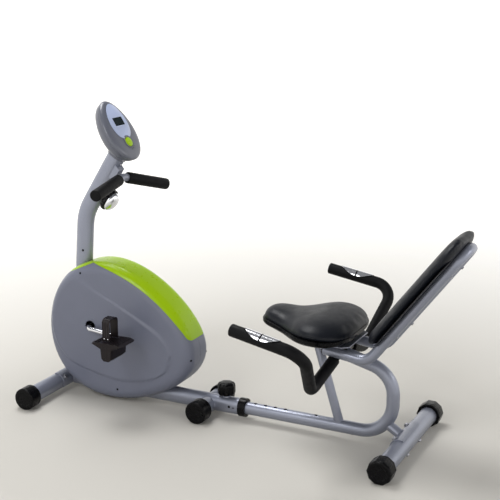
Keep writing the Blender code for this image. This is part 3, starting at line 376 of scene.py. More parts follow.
def floor_with_painted_glow(colour):
    """Studio floor in rolled paint: pale, with a trace of mottling, and a painted glow that grows the
    further out it runs, standing in for a lit backdrop.
    """
    inputs = {"Roughness": 0.6, "Specular IOR Level": 0.1, "Emission Color": (1.0, 1.0, 1.0, 1.0)}
    made, tree, shader, place = finish("Studio paint, rolled, with painted glow", inputs)
    # Painted glow: the floor and wall give off light, more the further out they lie, though they are no
    # lamp.
    away = add(tree, "ShaderNodeVectorMath", {0: place}, operation="LENGTH")
    glow = add(
        tree, "ShaderNodeMapRange",
        {"Value": away.outputs["Value"], "From Min": 0.8, "From Max": 3.6, "To Min": 0.0, "To Max": 0.85},
    )
    join(tree, glow.outputs["Result"], shader, "Emission Strength")
    mottle(tree, shader, place, linear(colour), 900, 0.012)
    return made


def mix_finishes():
    """Every material, by the slot of the record that it stands for."""
    ink = bpy.context.scene.bike_colours
    SKIN.update(
        grey_paint=powder_coated_steel(ink.frame),
        grey_plastic=moulded_plastic("ABS, moulded grey", ink.cover, 0.40, 0.9, 0.035),
        console_plastic=moulded_plastic("ABS, painted silver grey", ink.console, 0.34, 0.8, 0.02, coat=0.2),
        lime_plastic=moulded_plastic(
            "ABS, moulded lime", ink.lime, 0.30, 3.0, 0.003, coat=0.08, spread=0.02, gloss=0.22
        ),
        black_plastic=moulded_plastic(
            "Polypropylene, moulded black", ink.black, 0.26, 0.7, 0.02, spread=0.12, gloss=0.13
        ),
        pedal_plastic=moulded_plastic(
            "Polypropylene, moulded brown-black", ink.pedal, 0.34, 0.8, 0.03, spread=0.15, gloss=0.25
        ),
        chrome_plate=plated("Chromed steel, bright", ink.chrome, 0.10),
        silver_cap=plated("ABS, vacuum metallised", "#e9eaee", 0.16, 6.0),
        steel=plated("Zinc-plated steel, clear passivated", ink.steel, 0.30),
        cast_iron=turned_cast_iron(),
        foam=closed_cell_foam(ink.foam),
        vinyl=upholstery_vinyl(ink.vinyl),
        pale_plastic=printed_film(ink.panel),
        screen=acrylic_window(ink.screen),
        belt_rubber=drive_rubber(),
        board=moulded_plastic("Glass-epoxy board, solder masked", "#2c6b45", 0.42, 1.0, 0.03),
        floor=floor_with_painted_glow(ink.floor),
    )


# ---------------------------------------------------------------- shapes


def at(station, y, z):
    """A point in the row's frame, from its station."""
    return Vector((station - ORIGIN_STATION, y, z))


def placed(point):
    return at(point.x, point.y, point.z)


def loft(rings, looped=False):
    """Points and faces through rings of equal length. Unlooped, both ends are closed."""
    count = len(rings[0])
    points = [point for ring in rings for point in ring]
    faces = []
    for row in range(len(rings) if looped else len(rings) - 1):
        low = row * count
        high = ((row + 1) % len(rings)) * count
        faces += [(low + i, low + (i + 1) % count, high + (i + 1) % count, high + i) for i in range(count)]
    if not looped:
        faces.append(tuple(reversed(range(count))))
        faces.append(tuple(range(len(points) - count, len(points))))
    return points, faces


def together(shapes):
    """Several closed shapes as the points and faces of one mesh."""
    points, faces = [], []
    for more_points, more_faces in shapes:
        start = len(points)
        points += more_points
        faces += [tuple(start + i for i in face) for face in more_faces]
    return points, faces


def across(axis, hint=UP):
    """Two unit vectors square to axis, the second as near to hint as it can be."""
    axis = axis.normalized()
    if abs(axis.dot(hint)) > 0.999:
        hint = FORWARD
    side = hint.cross(axis).normalized()
    return side, axis.cross(side)


def circle(radius, sides=40, flat_down=False):
    turn = (math.pi / sides if flat_down else 0.0) - math.pi / 2
    size = radius / math.cos(math.pi / sides) if flat_down else radius
    angles = [2 * math.pi * i / sides + turn for i in range(sides)]
    return [(size * math.cos(a), size * math.sin(a)) for a in angles]


def lobed(radius, lobes, depth, sides=96):
    """A circle scalloped by a number of lobes, each depth deep as a share of the radius."""
    angles = [2 * math.pi * i / sides for i in range(sides)]
    sizes = [radius * (1 - depth * (0.5 - 0.5 * math.cos(lobes * a)) ** 2) for a in angles]
    return [(size * math.cos(a), size * math.sin(a)) for size, a in zip(sizes, angles)]


def oval(half_a, half_b, sides=48):
    angles = [2 * math.pi * i / sides for i in range(sides)]
    return [(half_a * math.cos(a), half_b * math.sin(a)) for a in angles]


def stadium(width, height, steps=14):
    radius = width / 2
    straight = height / 2 - radius
    upper = [math.pi * i / steps for i in range(steps + 1)]
    top = [(radius * math.cos(a), straight + radius * math.sin(a)) for a in upper]
    return top + [(-a, -b) for a, b in top]


def ring_at(centre, axis, section, hint=UP):
    side, rise = across(axis, hint)
    return [centre + side * a + rise * b for a, b in section]


def turned(base, axis, profile, sides=40, looped=False, section=None):
    """A turned shape. profile is (radius, distance along axis); section is a unit ring, else round."""
    unit = section or circle(1.0, sides)
    rings = []
    for radius, along in profile:
        size = max(radius, 1e-5)
        scaled = [(a * size, b * size) for a, b in unit]
        rings.append(ring_at(base + axis.normalized() * along, axis, scaled))
    return loft(rings, looped)


def rounded(corners, radii, steps=12):
    """A path through corners, each inner one replaced by an arc of its radius."""
    path = [corners[0]]
    for before, corner, after, radius in zip(corners, corners[1:], corners[2:], radii):
        inward = (before - corner).normalized()
        outward = (after - corner).normalized()
        half = inward.angle(outward) / 2
        reach = radius / math.tan(half)
        middle = corner + (inward + outward).normalized() * (radius / math.sin(half))
        first = corner + inward * reach - middle
        last = corner + outward * reach - middle
        sweep = first.angle(last)
        axis = first.cross(last).normalized()
        path += [middle + Matrix.Rotation(sweep * i / steps, 3, axis) @ first for i in range(steps + 1)]
    path.append(corners[-1])
    return path


def swept(path, section, hint=LEFT, scales=None):
    """Rings of a section along a path, turning as little as they can."""
    rings = []
    rise = hint
    for i, point in enumerate(path):
        ahead = path[min(i + 1, len(path) - 1)] - point
        behind = point - path[max(i - 1, 0)]
        along = (ahead.normalized() + behind.normalized()).normalized()
        rise = (rise - along * rise.dot(along)).normalized()
        side = along.cross(rise)
        size = scales[i] if scales else 1.0
        rings.append([point + (side * a + rise * b) * size for a, b in section])
    return rings


def shorten(path, start, end):
    first = path[0] + (path[1] - path[0]).normalized() * start
    last = path[-1] + (path[-2] - path[-1]).normalized() * end
    return [first, *path[1:-1], last]


def eased(path, radius, ease):
    """A path and the scales along it that round over the two ends of a round section by ease."""
    start = (path[1] - path[0]).normalized()
    end = (path[-2] - path[-1]).normalized()
    angles = [math.pi / 2 * k / 4 for k in range(5)]
    reach = [ease * (1 - math.cos(a)) for a in angles]
    sizes = [1 - ease * (1 - math.sin(a)) / radius for a in angles]
    line = [path[0] + start * along for along in reach] + list(path[1:-1])
    line += [path[-1] + end * along for along in reversed(reach)]
    return line, sizes + [1.0] * len(path[1:-1]) + list(reversed(sizes))


def bar(path, radius, ease=0.0015, sides=36, hint=LEFT):
    """A round bar along a path, its two ends rounded over by ease."""
    line, scales = eased(path, radius, ease)
    return loft(swept(line, circle(radius, sides), hint, scales))


def straight(start, end, radius, ease=0.0015, sides=36):
    return bar([start, end], radius, ease, sides, across(end - start)[1])


def hexagon(point, axis, radius, thickness, washer=1.6):
    """A hexagon head or nut on a washer, standing on a surface at point."""
    axis = axis.normalized()
    disc = [(radius * washer, 0), (radius * washer, 0.0011), (radius * 0.9, 0.0014)]
    plate = turned(point, axis, disc, 28)
    profile = [(0.9, 0.0012), (1.0, 0.0016), (1.0, thickness * 0.85), (0.88, thickness), (0.45, thickness)]
    return together([plate, turned(point, axis, [(radius * r, a) for r, a in profile], 6)])


def cross_screw(point, axis, radius, height):
    """A pan-head screw with a cross recess."""
    axis = axis.normalized()
    head = [(1.0, 0.0), (1.0, 0.30), (0.90, 0.68), (0.70, 0.92), (0.52, 1.0)]
    rings = [ring_at(point + axis * height * up, axis, circle(radius * size, 32)) for size, up in head]
    for size, up in ((0.50, 1.0), (0.46, 0.45), (0.10, 0.40)):
        cross = lobed(radius * size, 4, 0.55 if size > 0.2 else 0.0, 32)
        rings.append(ring_at(point + axis * height * up, axis, cross))
    return loft(rings)


def weld(base, axis, radius, big_point, big_axis, big_radius, bead, hint=UP):
    """A rippled bead where a tube of some radius meets the outside of a bigger one."""
    axis = axis.normalized()
    big_axis = big_axis.normalized()
    side, rise = across(axis, hint)
    line = []
    for i in range(72):
        angle = 2 * math.pi * i / 72
        start = base + (side * math.cos(angle) + rise * math.sin(angle)) * radius - big_point
        flat = start - big_axis * start.dot(big_axis)
        run = axis - big_axis * axis.dot(big_axis)
        a, b, c = run.dot(run), flat.dot(run), flat.dot(flat) - big_radius**2
        root = math.sqrt(max(b * b - a * c, 0.0))
        line.append(big_point + start + axis * ((-b + root) / a))
    return bead_along(line, bead)


def bead_along(line, bead):
    """A closed weld bead: overlapping ripples along a loop of points."""
    rings = []
    count = len(line)
    middle = sum(line, Vector()) / count
    for i, point in enumerate(line):
        along = line[(i + 1) % count] - line[i - 1]
        size = bead * (1.0 + 0.16 * math.sin(i * 2.1))
        rings.append(ring_at(point, along, circle(size, 8), (point - middle).normalized()))
    return loft(rings, looped=True)


# ---------------------------------------------------------------- making pieces


def mesh_from(shape):
    points, faces = shape
    mesh = bpy.data.meshes.new("shape")
    mesh.from_pydata([tuple(point) for point in points], [], faces)
    work = bmesh.new()
    work.from_mesh(mesh)
    bmesh.ops.remove_doubles(work, verts=work.verts, dist=2e-6)
    bmesh.ops.recalc_face_normals(work, faces=work.faces)
    work.to_mesh(mesh)
    work.free()
    return mesh


def show(obj, body, skin, nodes=(), angle=38):
    """Gives a piece its material, its smooth shading and its body, and hides the CAD nodes that it stands
    for.
    """
    obj.data.materials.clear()
    obj.data.materials.append(SKIN[skin])
    obj.data.shade_smooth()
    obj.data.set_sharp_from_angle(angle=math.radians(angle))
    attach(obj, body)
    if nodes:
        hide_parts(*nodes)
    return obj


def placed_object(name, shape):
    obj = bpy.data.objects.new(name, mesh_from(shape))
    bpy.context.scene.collection.objects.link(obj)
    return obj


def piece(name, shape, body, skin, slot=None, nodes=(), angle=38):
    obj = placed_object(name, shape)
    return show(obj, body, skin, nodes, angle)


def ease_edges(obj, width, segments=2, angle=38):
    step = obj.modifiers.new("Eased edges", "BEVEL")
    step.width = width
    step.segments = segments
    step.limit_method = "ANGLE"
    step.angle_limit = math.radians(angle)
    step.harden_normals = True
    step.use_clamp_overlap = True


def cut(obj, shape, operation="DIFFERENCE"):
    """A Boolean against a closed shape, applied at once."""
    cutter = placed_object("cutter", shape)
    step = obj.modifiers.new("Cut", "BOOLEAN")
    step.object = cutter
    step.operation = operation
    step.solver = "EXACT"
    settle(obj)
    bpy.data.objects.remove(cutter, do_unlink=True)


def settle(obj):
    """Applies an object's modifiers to its mesh."""
    graph = bpy.context.evaluated_depsgraph_get()
    graph.update()
    made = bpy.data.meshes.new_from_object(obj.evaluated_get(graph), depsgraph=graph)
    obj.modifiers.clear()
    obj.data = made


def finished(node, body, skin, bevel=0.0008, angle=32):
    """The CAD node's own shape with its facets joined, its flats cleared of cuts and its edges eased."""
    source = frame["nodes"][node].data
    work = bmesh.new()
    work.from_mesh(source)
    bmesh.ops.remove_doubles(work, verts=work.verts, dist=2e-6)
    bmesh.ops.dissolve_limit(work, angle_limit=math.radians(0.8), verts=work.verts, edges=work.edges)
    bmesh.ops.recalc_face_normals(work, faces=work.faces)
    mesh = bpy.data.meshes.new(node)
    work.to_mesh(mesh)
    work.free()
    obj = bpy.data.objects.new(node + "_finished", mesh)
    bpy.context.scene.collection.objects.link(obj)
    show(obj, body, skin, (node,), angle)
    if bevel:
        ease_edges(obj, bevel, 2, angle)
    return obj


def cushion(name, shape, body, nodes, rise, keep_below=None):
    """Upholstery: the cut shape is remeshed, blown up as cloth, held to a cap, and smoothed."""
    obj = placed_object(name, shape)
    remesh = obj.modifiers.new("Remesh", "REMESH")
    remesh.mode = "VOXEL"
    remesh.voxel_size = bpy.context.scene.bike_sizes.voxel
    settle(obj)
    start = np.zeros(len(obj.data.vertices) * 3)
    obj.data.vertices.foreach_get("co", start)
    start = start.reshape(-1, 3)
    blow_up(obj)
    moved = np.zeros(start.size)
    obj.data.vertices.foreach_get("co", moved)
    travel = moved.reshape(-1, 3) - start
    reach = np.linalg.norm(travel, axis=1, keepdims=True)
    travel *= np.minimum(1.0, rise / np.maximum(reach, 1e-9))
    if keep_below is not None:
        travel *= np.clip((start[:, 2:3] - keep_below) / 0.02, 0.0, 1.0)
    obj.data.vertices.foreach_set("co", (start + travel).ravel())
    smooth = obj.modifiers.new("Stretch", "SMOOTH")
    smooth.factor = 0.5
    smooth.iterations = 14
    settle(obj)
    round_over = obj.modifiers.new("Subdivision", "SUBSURF")
    round_over.levels = 1
    round_over.render_levels = 1
    settle(obj)
    show(obj, body, "vinyl", nodes, 60)
    return obj


def blow_up(obj):
    scene = bpy.context.scene
    cloth = obj.modifiers.new("Cloth", "CLOTH")
    cloth.settings.use_pressure = True
    cloth.settings.uniform_pressure_force = 4.0
    cloth.settings.effector_weights.gravity = 0.0
    cloth.settings.tension_stiffness = 25.0
    cloth.settings.compression_stiffness = 25.0
    cloth.point_cache.frame_start = 1
    cloth.point_cache.frame_end = 20
    for number in range(1, 21):
        scene.frame_set(number)
    settle(obj)
    scene.frame_set(1)


def hollow(path, outer, inner, hint=LEFT):
    """A tube open at both ends."""
    return loft(swept(path, outer, hint) + list(reversed(swept(path, inner, hint))), looped=True)


# ---------------------------------------------------------------- floor frame


def cap_shape(station, side, reach, sides):
    """A cup over a stabiliser's end, flat where it stands, with a lip groove and a dished end."""
    radius = bpy.context.scene.bike_sizes.cap_radius
    start = at(station, side * (reach + 0.003 - CAP_LENGTH), STABILISER_Z)
    soft = 0.004 if sides > 16 else 0.0075
    profile = [(0.0275, CAP_LENGTH - 0.003), (0.0275, 0.0), (radius - 0.002, 0.0), (radius, 0.002)]
    profile += [(radius, 0.0065), (radius - 0.0007, 0.0072), (radius - 0.0007, 0.0088), (radius, 0.0095)]
    for k in range(6):
        angle = math.pi / 2 * k / 5
        profile.append((radius - soft * (1 - math.cos(angle)), CAP_LENGTH - soft * (1 - math.sin(angle))))
    profile += [(radius - 0.013, CAP_LENGTH), (radius - 0.0145, CAP_LENGTH - 0.0015)]
    return turned(start, LEFT * side, profile, section=circle(1.0, sides, True))


def build_floor_frame():
    sizes = bpy.context.scene.bike_sizes
    radius = sizes.stabiliser_radius
    ends = [at(0.5535, 0, MAIN_Z), at(1.1825, 0, MAIN_Z)]
    shapes = [hollow(ends, stadium(0.046, 0.054), stadium(0.041, 0.049), UP)]
    beads = []
    middle = STABILISERS["middle"]
    for side in (1, -1):
        root = at(middle, side * 0.0207, STABILISER_Z)
        tip = at(middle, side * 0.1017, STABILISER_Z)
        shapes.append(straight(root, tip, radius, 0.0005, 48))
        tube = at(middle, 0, MAIN_Z - 0.003)
        beads.append(weld(root, LEFT * side, radius, tube, FORWARD, 0.0232, sizes.weld_radius))
    top = at(PIN_STATION, 0, MAIN_Z + 0.027)
    boss = [(0.0045, -0.002), (0.0135, -0.002), (0.0135, 0.0082), (0.0127, 0.009), (0.0045, 0.009)]
    shapes.append(turned(top, UP, boss, 36, True))
    piece("main_tube", together(shapes), "frame", "grey_paint", nodes=["main_frame"])
    piece("main_tube_welds", together(beads), "frame", "grey_paint")
    bars = {"front": "frame", "rear": "seat_carriage"}
    for word, body in bars.items():
        station = STABILISERS[word]
        ends = [at(station, y, STABILISER_Z) for y in (0.2437, -0.2437)]
        tube = straight(*ends, radius, 0.0008, 56)
        piece(word + "_tube", tube, body, "grey_paint", nodes=[word + "_stabiliser"])
    for side, word in ((1, "left"), (-1, "right")):
        front = cap_shape(STABILISERS["front"], side, 0.247, 48)
        piece("front_end_cap_" + word, front, "frame", "black_plastic", nodes=["front_cap_" + word])
        near = cap_shape(middle, side, 0.102, 48)
        piece("middle_end_cap_" + word, near, "frame", "black_plastic", nodes=["middle_cap_" + word])
        rear = cap_shape(0.0, side, 0.247, 10)
        body = "rear_" + word + "_cap"
        node = "rear_cap_" + word
        made = piece("rear_end_cap_" + word, rear, body, "black_plastic", nodes=[node], angle=30)
        ease_edges(made, 0.0012, 3, 30)
    finished("front_cradle", "frame", "grey_paint", 0.0012)
    finished("rear_cradle", "seat_carriage", "grey_paint", 0.0012)
    build_collar()


def build_collar():
    """The black bush in the main tube's rear end, and the two screws that hold it."""
    finished("sleeve_collar", "frame", "black_plastic", 0.0008)
    screws = []
    for station, z, size in ((0.583, 0.043, 0.0042), (0.568, 0.041, 0.0022)):
        screws.append(cross_screw(at(station, 0.0228, z), LEFT, size, 0.0022))
        screws.append(cross_screw(at(station, -0.0228, z), -LEFT, size, 0.0022))
    piece("collar_screws", together(screws), "frame", "black_plastic")


# ---------------------------------------------------------------- post, front bar and knob


def post_axis():
    return (POST_TOP - POST_BEND).normalized()


def knob_axis():
    along = post_axis()
    return Vector((-along.z, 0, along.x))


def build_post():
    path = rounded([placed(POST_BASE), placed(POST_BEND), placed(POST_TOP)], [0.16], 16)
    outer = oval(*POST_HALF)
    inner = oval(POST_HALF[0] - 0.002, POST_HALF[1] - 0.002)
    piece("post_tube", hollow(path, outer, inner, FORWARD), "frame", "grey_paint", nodes=["front_post"])
    lower = (POST_BEND - POST_BASE).normalized()
    screws = []
    for height in (0.089, 0.037):
        spot = placed(POST_BASE + lower * height) - FORWARD * 0.006
        screws.append(cross_screw(spot + LEFT * 0.0200, LEFT, 0.0040, 0.0024))
        screws.append(cross_screw(spot - LEFT * 0.0200, -LEFT, 0.0040, 0.0024))
    piece("post_screws", together(screws), "frame", "black_plastic")
    finished("post_stub", "frame", "grey_paint", 0.0)
    finished("bottom_bracket", "frame", "grey_paint", 0.0)
    finished("tension_cable", "frame", "black_plastic", 0.0)


def build_front_bar():
    sizes = bpy.context.scene.bike_sizes
    corners = [placed(BAR_LEFT), placed(BAR_MIDDLE), placed(BAR_RIGHT)]
    path = rounded(corners, [0.040], 14)
    tube = bar(shorten(path, 0.004, 0.004), sizes.bar_radius, 0.001)
    piece("front_bar_tube", tube, "frame", "grey_paint", nodes=["front_handlebar"])
    for word, tip, bare in (("left", BAR_LEFT, 0.034), ("right", BAR_RIGHT, 0.014)):
        start = placed(tip)
        along = placed(BAR_MIDDLE) - start
        end = start + along.normalized() * (along.length - bare)
        grip = foam_sleeve([start, end], sizes.front_foam, sizes.bar_radius + 0.0006)
        piece("front_foam_" + word, grip, "frame", "foam", nodes=["front_grip_" + word])
    finished("handlebar_clamp", "frame", "grey_paint", 0.0015)
    screws = []
    for up in (0.030, 0.047):
        spot = placed(BAR_MIDDLE) - knob_axis() * (0.055 - 0.0288) + post_axis() * up + LEFT * 0.006
        screws.append(cross_screw(spot, knob_axis(), 0.0045, 0.0035))
    piece("clamp_screws", together(screws), "frame", "steel")
    build_tension_knob()


def foam_sleeve(path, radius, bore, ease=0.0035):
    """A closed-ended foam tube: rounded outside edges, the bar's bore open at its inner end."""
    line, scales = eased(path, radius, ease)
    outer = swept(line, circle(radius, 40), UP, scales)
    inner = swept(shorten(list(path), 0.003, 0.0), circle(bore, 40), UP)
    return loft(outer + list(reversed(inner)))


def knob_base():
    return POST_BEND + post_axis() * 0.0927


def build_tension_knob():
    finished("tension_housing", "frame", "black_plastic", 0.0008)
    base = placed(knob_base())
    start = POST_HALF[1] - 0.001 + 0.009 + 0.0005
    body = [(0.0170, start), (0.0335, start + 0.002), (0.0368, start + 0.006), (0.0368, start + 0.015)]
    body += [(0.0358, start + 0.018), (0.0345, start + 0.0195), (0.0325, start + 0.0195)]
    shape = turned(base, knob_axis(), body, section=lobed(1.0, 12, 0.07))
    piece("tension_knob_body", shape, "tension_dial", "black_plastic", nodes=["tension_knob"])
    dome = [(0.0322, start + 0.0180)]
    for k in range(13):
        angle = math.pi / 2 * k / 12
        dome.append((0.0322 * math.cos(angle), start + 0.0200 + 0.0200 * math.sin(angle)))
    shape = turned(base, knob_axis(), dome, 48)
    piece("tension_knob_dome", shape, "tension_dial", "silver_cap", "black_plastic")


# ---------------------------------------------------------------- console


def console_up():
    return Vector((math.sin(CONSOLE_LEAN), 0, math.cos(CONSOLE_LEAN)))


def console_out():
    return Vector((-math.cos(CONSOLE_LEAN), 0, math.sin(CONSOLE_LEAN)))


def on_console(side, up, depth):
    return placed(CONSOLE_CENTRE) + LEFT * side + console_up() * up + console_out() * depth


def console_ring(scale, depth, sides=96, shift=0.0):
    """The console's egg outline at a depth along its face's normal."""
    ring = []
    for i in range(sides):
        angle = 2 * math.pi * i / sides
        rise = math.sin(angle)
        wide = CONSOLE_HALF[0] * math.cos(angle) * (1 - 0.13 * rise)
        ring.append(on_console(wide * scale, CONSOLE_HALF[1] * rise * scale + shift, depth))
    return ring


def console_rings(profile):
    return [console_ring(scale, depth) for scale, depth in profile]


def build_console():
    outer = [(0.52, -0.034), (0.66, -0.0330), (0.80, -0.0295), (0.89, -0.0235), (0.95, -0.0155)]
    outer += [(0.98, -0.007), (0.985, -0.0008)]
    inner = [(0.945, -0.0008), (0.905, -0.015), (0.76, -0.0265), (0.50, -0.0305)]
    back = placed_object("console_shell", loft(console_rings(outer + inner)))
    low = placed(POST_TOP) - post_axis() * 0.012
    top = placed(POST_TOP) + post_axis() * 0.034
    neck = oval(POST_HALF[0] + 0.004, POST_HALF[1] + 0.003)
    cut(back, loft([ring_at(point, post_axis(), neck, FORWARD) for point in (low, top)]), "UNION")
    room = [(0.49, -0.0290), (0.745, -0.0252), (0.885, -0.0140), (0.93, 0.03)]
    cut(back, loft(console_rings(room)))
    socket = oval(POST_HALF[0] + 0.0003, POST_HALF[1] + 0.0003)
    ends = (low - post_axis() * 0.01, placed(POST_TOP) + post_axis() * 0.0003)
    cut(back, loft([ring_at(point, post_axis(), socket, FORWARD) for point in ends]))
    show(back, "frame", "console_plastic", ("console_back",))
    ease_edges(back, 0.0009)
    face = [(0.55, 0.0132), (0.84, 0.0118), (0.93, 0.0040), (0.94, 0.0), (0.985, 0.0)]
    face += [(1.0, 0.0022), (1.003, 0.0045), (0.998, 0.0070), (0.985, 0.0092), (0.962, 0.0114)]
    face += [(0.93, 0.0134), (0.88, 0.0150), (0.80, 0.0160), (0.70, 0.0165), (0.60, 0.0167)]
    front = placed_object("console_bezel", loft(console_rings(face)))
    button = on_console(0, -0.047, 0)
    cut(front, straight(button, button + console_out() * 0.03, 0.0164, 0.0001, 48))
    show(front, "frame", "console_plastic", ("console_front",))
    build_console_face(button)
    finished("circuit_board", "frame", "board", 0.0)


def build_console_face(button):
    """The film panel with its cut-out, the display window in its frame, and the push button in its ring."""
    levels = ((0.60, 0.0168), (0.60, 0.0180), (0.592, 0.0185))
    rings = [console_ring(scale, depth, shift=0.026) for scale, depth in levels]
    panel = placed_object("console_film", loft(rings))
    cut(panel, straight(button, button + console_out() * 0.03, 0.0226, 0.0001, 48))
    show(panel, "frame", "pale_plastic", ("console_panel",))
    window = on_console(0, 0.025, 0)
    edge = framed(window, 0.0305, 0.0190, 0.0252, 0.0140, 0.0184, 0.0202)
    piece("display_frame", edge, "frame", "pale_plastic", angle=25)
    glass = loft([rounded_plate(window, 0.0250, 0.0138, 0.002, depth) for depth in (0.0187, 0.0199)])
    piece("display_window", glass, "frame", "screen", nodes=["lcd_screen"])
    ring = [(0.0166, 0.0160), (0.0206, 0.0163), (0.0212, 0.0176), (0.0202, 0.0186)]
    ring += [(0.0176, 0.0184), (0.0166, 0.0172)]
    shape = turned(button, console_out(), ring, 64, True)
    piece("button_ring", shape, "frame", "console_plastic", "grey_plastic")
    cap = [(0.0120, 0.0050), (0.0120, 0.0085), (0.0156, 0.0085), (0.0156, 0.0184)]
    cap += [(0.0150, 0.0196), (0.0132, 0.0202), (0.006, 0.0199)]
    shape = turned(button, console_out(), cap, 48)
    piece("push_button", shape, "button", "lime_plastic", nodes=["console_button"])
    arc = 0.0252
    turns = np.linspace(-2.6, -1.5, 16)
    glint = [on_console(arc * math.cos(a), arc * math.sin(a) - 0.047, 0.0168) for a in turns]
    shape = bar(glint, 0.0012, 0.0008, 12, console_out())
    piece("button_glint", shape, "frame", "console_plastic", "grey_plastic")


def rounded_plate(centre, half_y, half_up, corner, depth, steps=6):
    ring = []
    for quarter, (a, b) in enumerate(((1, 1), (-1, 1), (-1, -1), (1, -1))):
        for k in range(steps + 1):
            angle = math.pi / 2 * (quarter + k / steps)
            side = a * (half_y - corner) + corner * math.cos(angle)
            up = b * (half_up - corner) + corner * math.sin(angle)
            ring.append(centre + LEFT * side + console_up() * up + console_out() * depth)
    return ring


def framed(centre, half_y, half_up, in_y, in_up, low, high):
    """A flat frame with a softened outer edge round an oblong opening."""
    rings = [
        rounded_plate(centre, in_y, in_up, 0.0020, low),
        rounded_plate(centre, half_y, half_up, 0.0060, low),
        rounded_plate(centre, half_y - 0.0004, half_up - 0.0004, 0.0060, high - 0.0006),
        rounded_plate(centre, half_y - 0.0018, half_up - 0.0018, 0.0050, high),
        rounded_plate(centre, in_y + 0.0010, in_up + 0.0010, 0.0026, high),
        rounded_plate(centre, in_y, in_up, 0.0020, high - 0.0006),
    ]
    return loft(rings, looped=True)


# ---------------------------------------------------------------- drive cover


def egg(inset, sides=144):
    """The cover's side outline as (station, z) points, moved inwards by inset."""
    points = []
    for i in range(sides):
        angle = 2 * math.pi * i / sides
        along = EGG_LENGTH * math.cos(angle)
        over = EGG_HEIGHT * math.sin(angle) * (1 + EGG_BLUNTNESS * math.cos(angle))
        d_along = -EGG_LENGTH * math.sin(angle)
        d_over = EGG_HEIGHT * (math.cos(angle) + EGG_BLUNTNESS * math.cos(2 * angle))
        size = math.hypot(d_along, d_over)
        along -= inset * d_over / size
        over += inset * d_along / size
        x = EGG_CENTRE.x + along * math.cos(EGG_TILT) - over * math.sin(EGG_TILT)
        z = EGG_CENTRE.z + along * math.sin(EGG_TILT) + over * math.cos(EGG_TILT)
        points.append((x, z))
    return points


def shoulder(half, radius, steps=12):
    """(y, inset) pairs from the middle plane out over the rounded shoulder."""
    angles = [math.pi / 2 * i / steps for i in range(steps + 1)]
    return [(half - radius + radius * math.sin(a), radius * (1 - math.cos(a))) for a in angles]


def both_shoulders(half, radius):
    near = shoulder(half, radius)
    return [(-y, inset) for y, inset in reversed(near)] + near


def egg_rings(levels, side=1, extra=0.0):
    return [[at(x, side * y, z) for x, z in egg(inset + extra)] for y, inset in levels]


def catmull_rom(a, b, c, d, t):
    """The curve from b to c, with a before them and d after, t running from 0 to 1."""
    squared = (2 * a - 5 * b + 4 * c - d) * t**2
    cubed = (3 * b - a - 3 * c + d) * t**3
    return 0.5 * (2 * b + (c - a) * t + squared + cubed)


def smooth_loop(corners, steps=12):
    """A closed Catmull-Rom curve through (station, z) corners."""
    points = []
    count = len(corners)
    for i in range(count):
        around = [np.array(corners[(i + k) % count]) for k in (-1, 0, 1, 2)]
        points += [catmull_rom(*around, step / steps) for step in range(steps)]
    return np.array(points)


def signed_distance(spots, loop):
    """Distance from each spot to a closed loop, positive inside it."""
    ends = np.roll(loop, -1, axis=0)
    run = ends - loop
    offset = spots[:, None, :] - loop[None, :, :]
    t = np.clip((offset * run).sum(2) / (run * run).sum(1), 0, 1)
    gap = np.linalg.norm(offset - t[..., None] * run, axis=2).min(1)
    crosses = (loop[None, :, 1] > spots[:, None, 1]) != (ends[None, :, 1] > spots[:, None, 1])
    climb = np.where(run[None, :, 1] == 0, 1e-12, run[None, :, 1])
    slope = run[None, :, 0] * (spots[:, None, 1] - loop[None, :, 1]) / climb
    inside = (crosses & (spots[:, None, 0] < loop[None, :, 0] + slope)).sum(1) % 2 == 1
    return np.where(inside, gap, -gap)


def hub_ring(y, side, radius, outline):
    """A circle round the crank's axis whose points face those of the outline."""
    ring = []
    for x, z in outline:
        angle = math.atan2(z - CRANK.z, x - CRANK.x)
        ring.append(at(CRANK.x + radius * math.cos(angle), side * y, CRANK.z + radius * math.sin(angle)))
    return ring


def half_cover(side):
    """One moulded half: its face with the crank's hole, its shoulder, the seam, and its inside."""
    outline = egg(COVER_ROUND)
    hole = hub_ring(COVER_HALF, side, 0.0197, outline)
    edge = [at(x, side * COVER_HALF, z) for x, z in outline]
    face = [hub_ring(COVER_HALF - 0.001, side, 0.0187, outline), hole]
    for step in range(1, 48):
        face.append([a.lerp(b, step / 48) for a, b in zip(hole, edge)])
    outside = list(reversed(egg_rings(shoulder(COVER_HALF, COVER_ROUND), side)))
    seam = egg_rings([(0.0009, 0.0), (0.0003, 0.0006)], side)
    deep = hub_ring(COVER_HALF - COVER_WALL, side, 0.0187, outline)
    points, faces = loft(face + outside + seam + inner_egg(side) + [deep], looped=True)
    return raise_panel(points, side), faces


def inner_egg(side):
    rings = egg_rings([(0.0003, COVER_WALL)], side)
    levels = shoulder(COVER_HALF - COVER_WALL, COVER_ROUND - COVER_WALL)
    return rings + egg_rings(levels, side, COVER_WALL)


def raise_panel(points, side):
    """Lifts the oval panel of the face by a soft step."""
    sizes = bpy.context.scene.bike_sizes
    array = np.array([tuple(point) for point in points])
    outer = np.abs(array[:, 1]) > COVER_HALF - 0.012
    spots = array[:, (0, 2)] + np.array([ORIGIN_STATION, 0.0])
    inside = signed_distance(spots, smooth_loop(RIDGE))
    t = np.clip(inside / sizes.ridge_width + 0.5, 0, 1)
    lift = sizes.ridge_height * t * t * (3 - 2 * t)
    array[:, 1] += np.where(outer, lift, 0.0) * side
    return [Vector(row) for row in array]


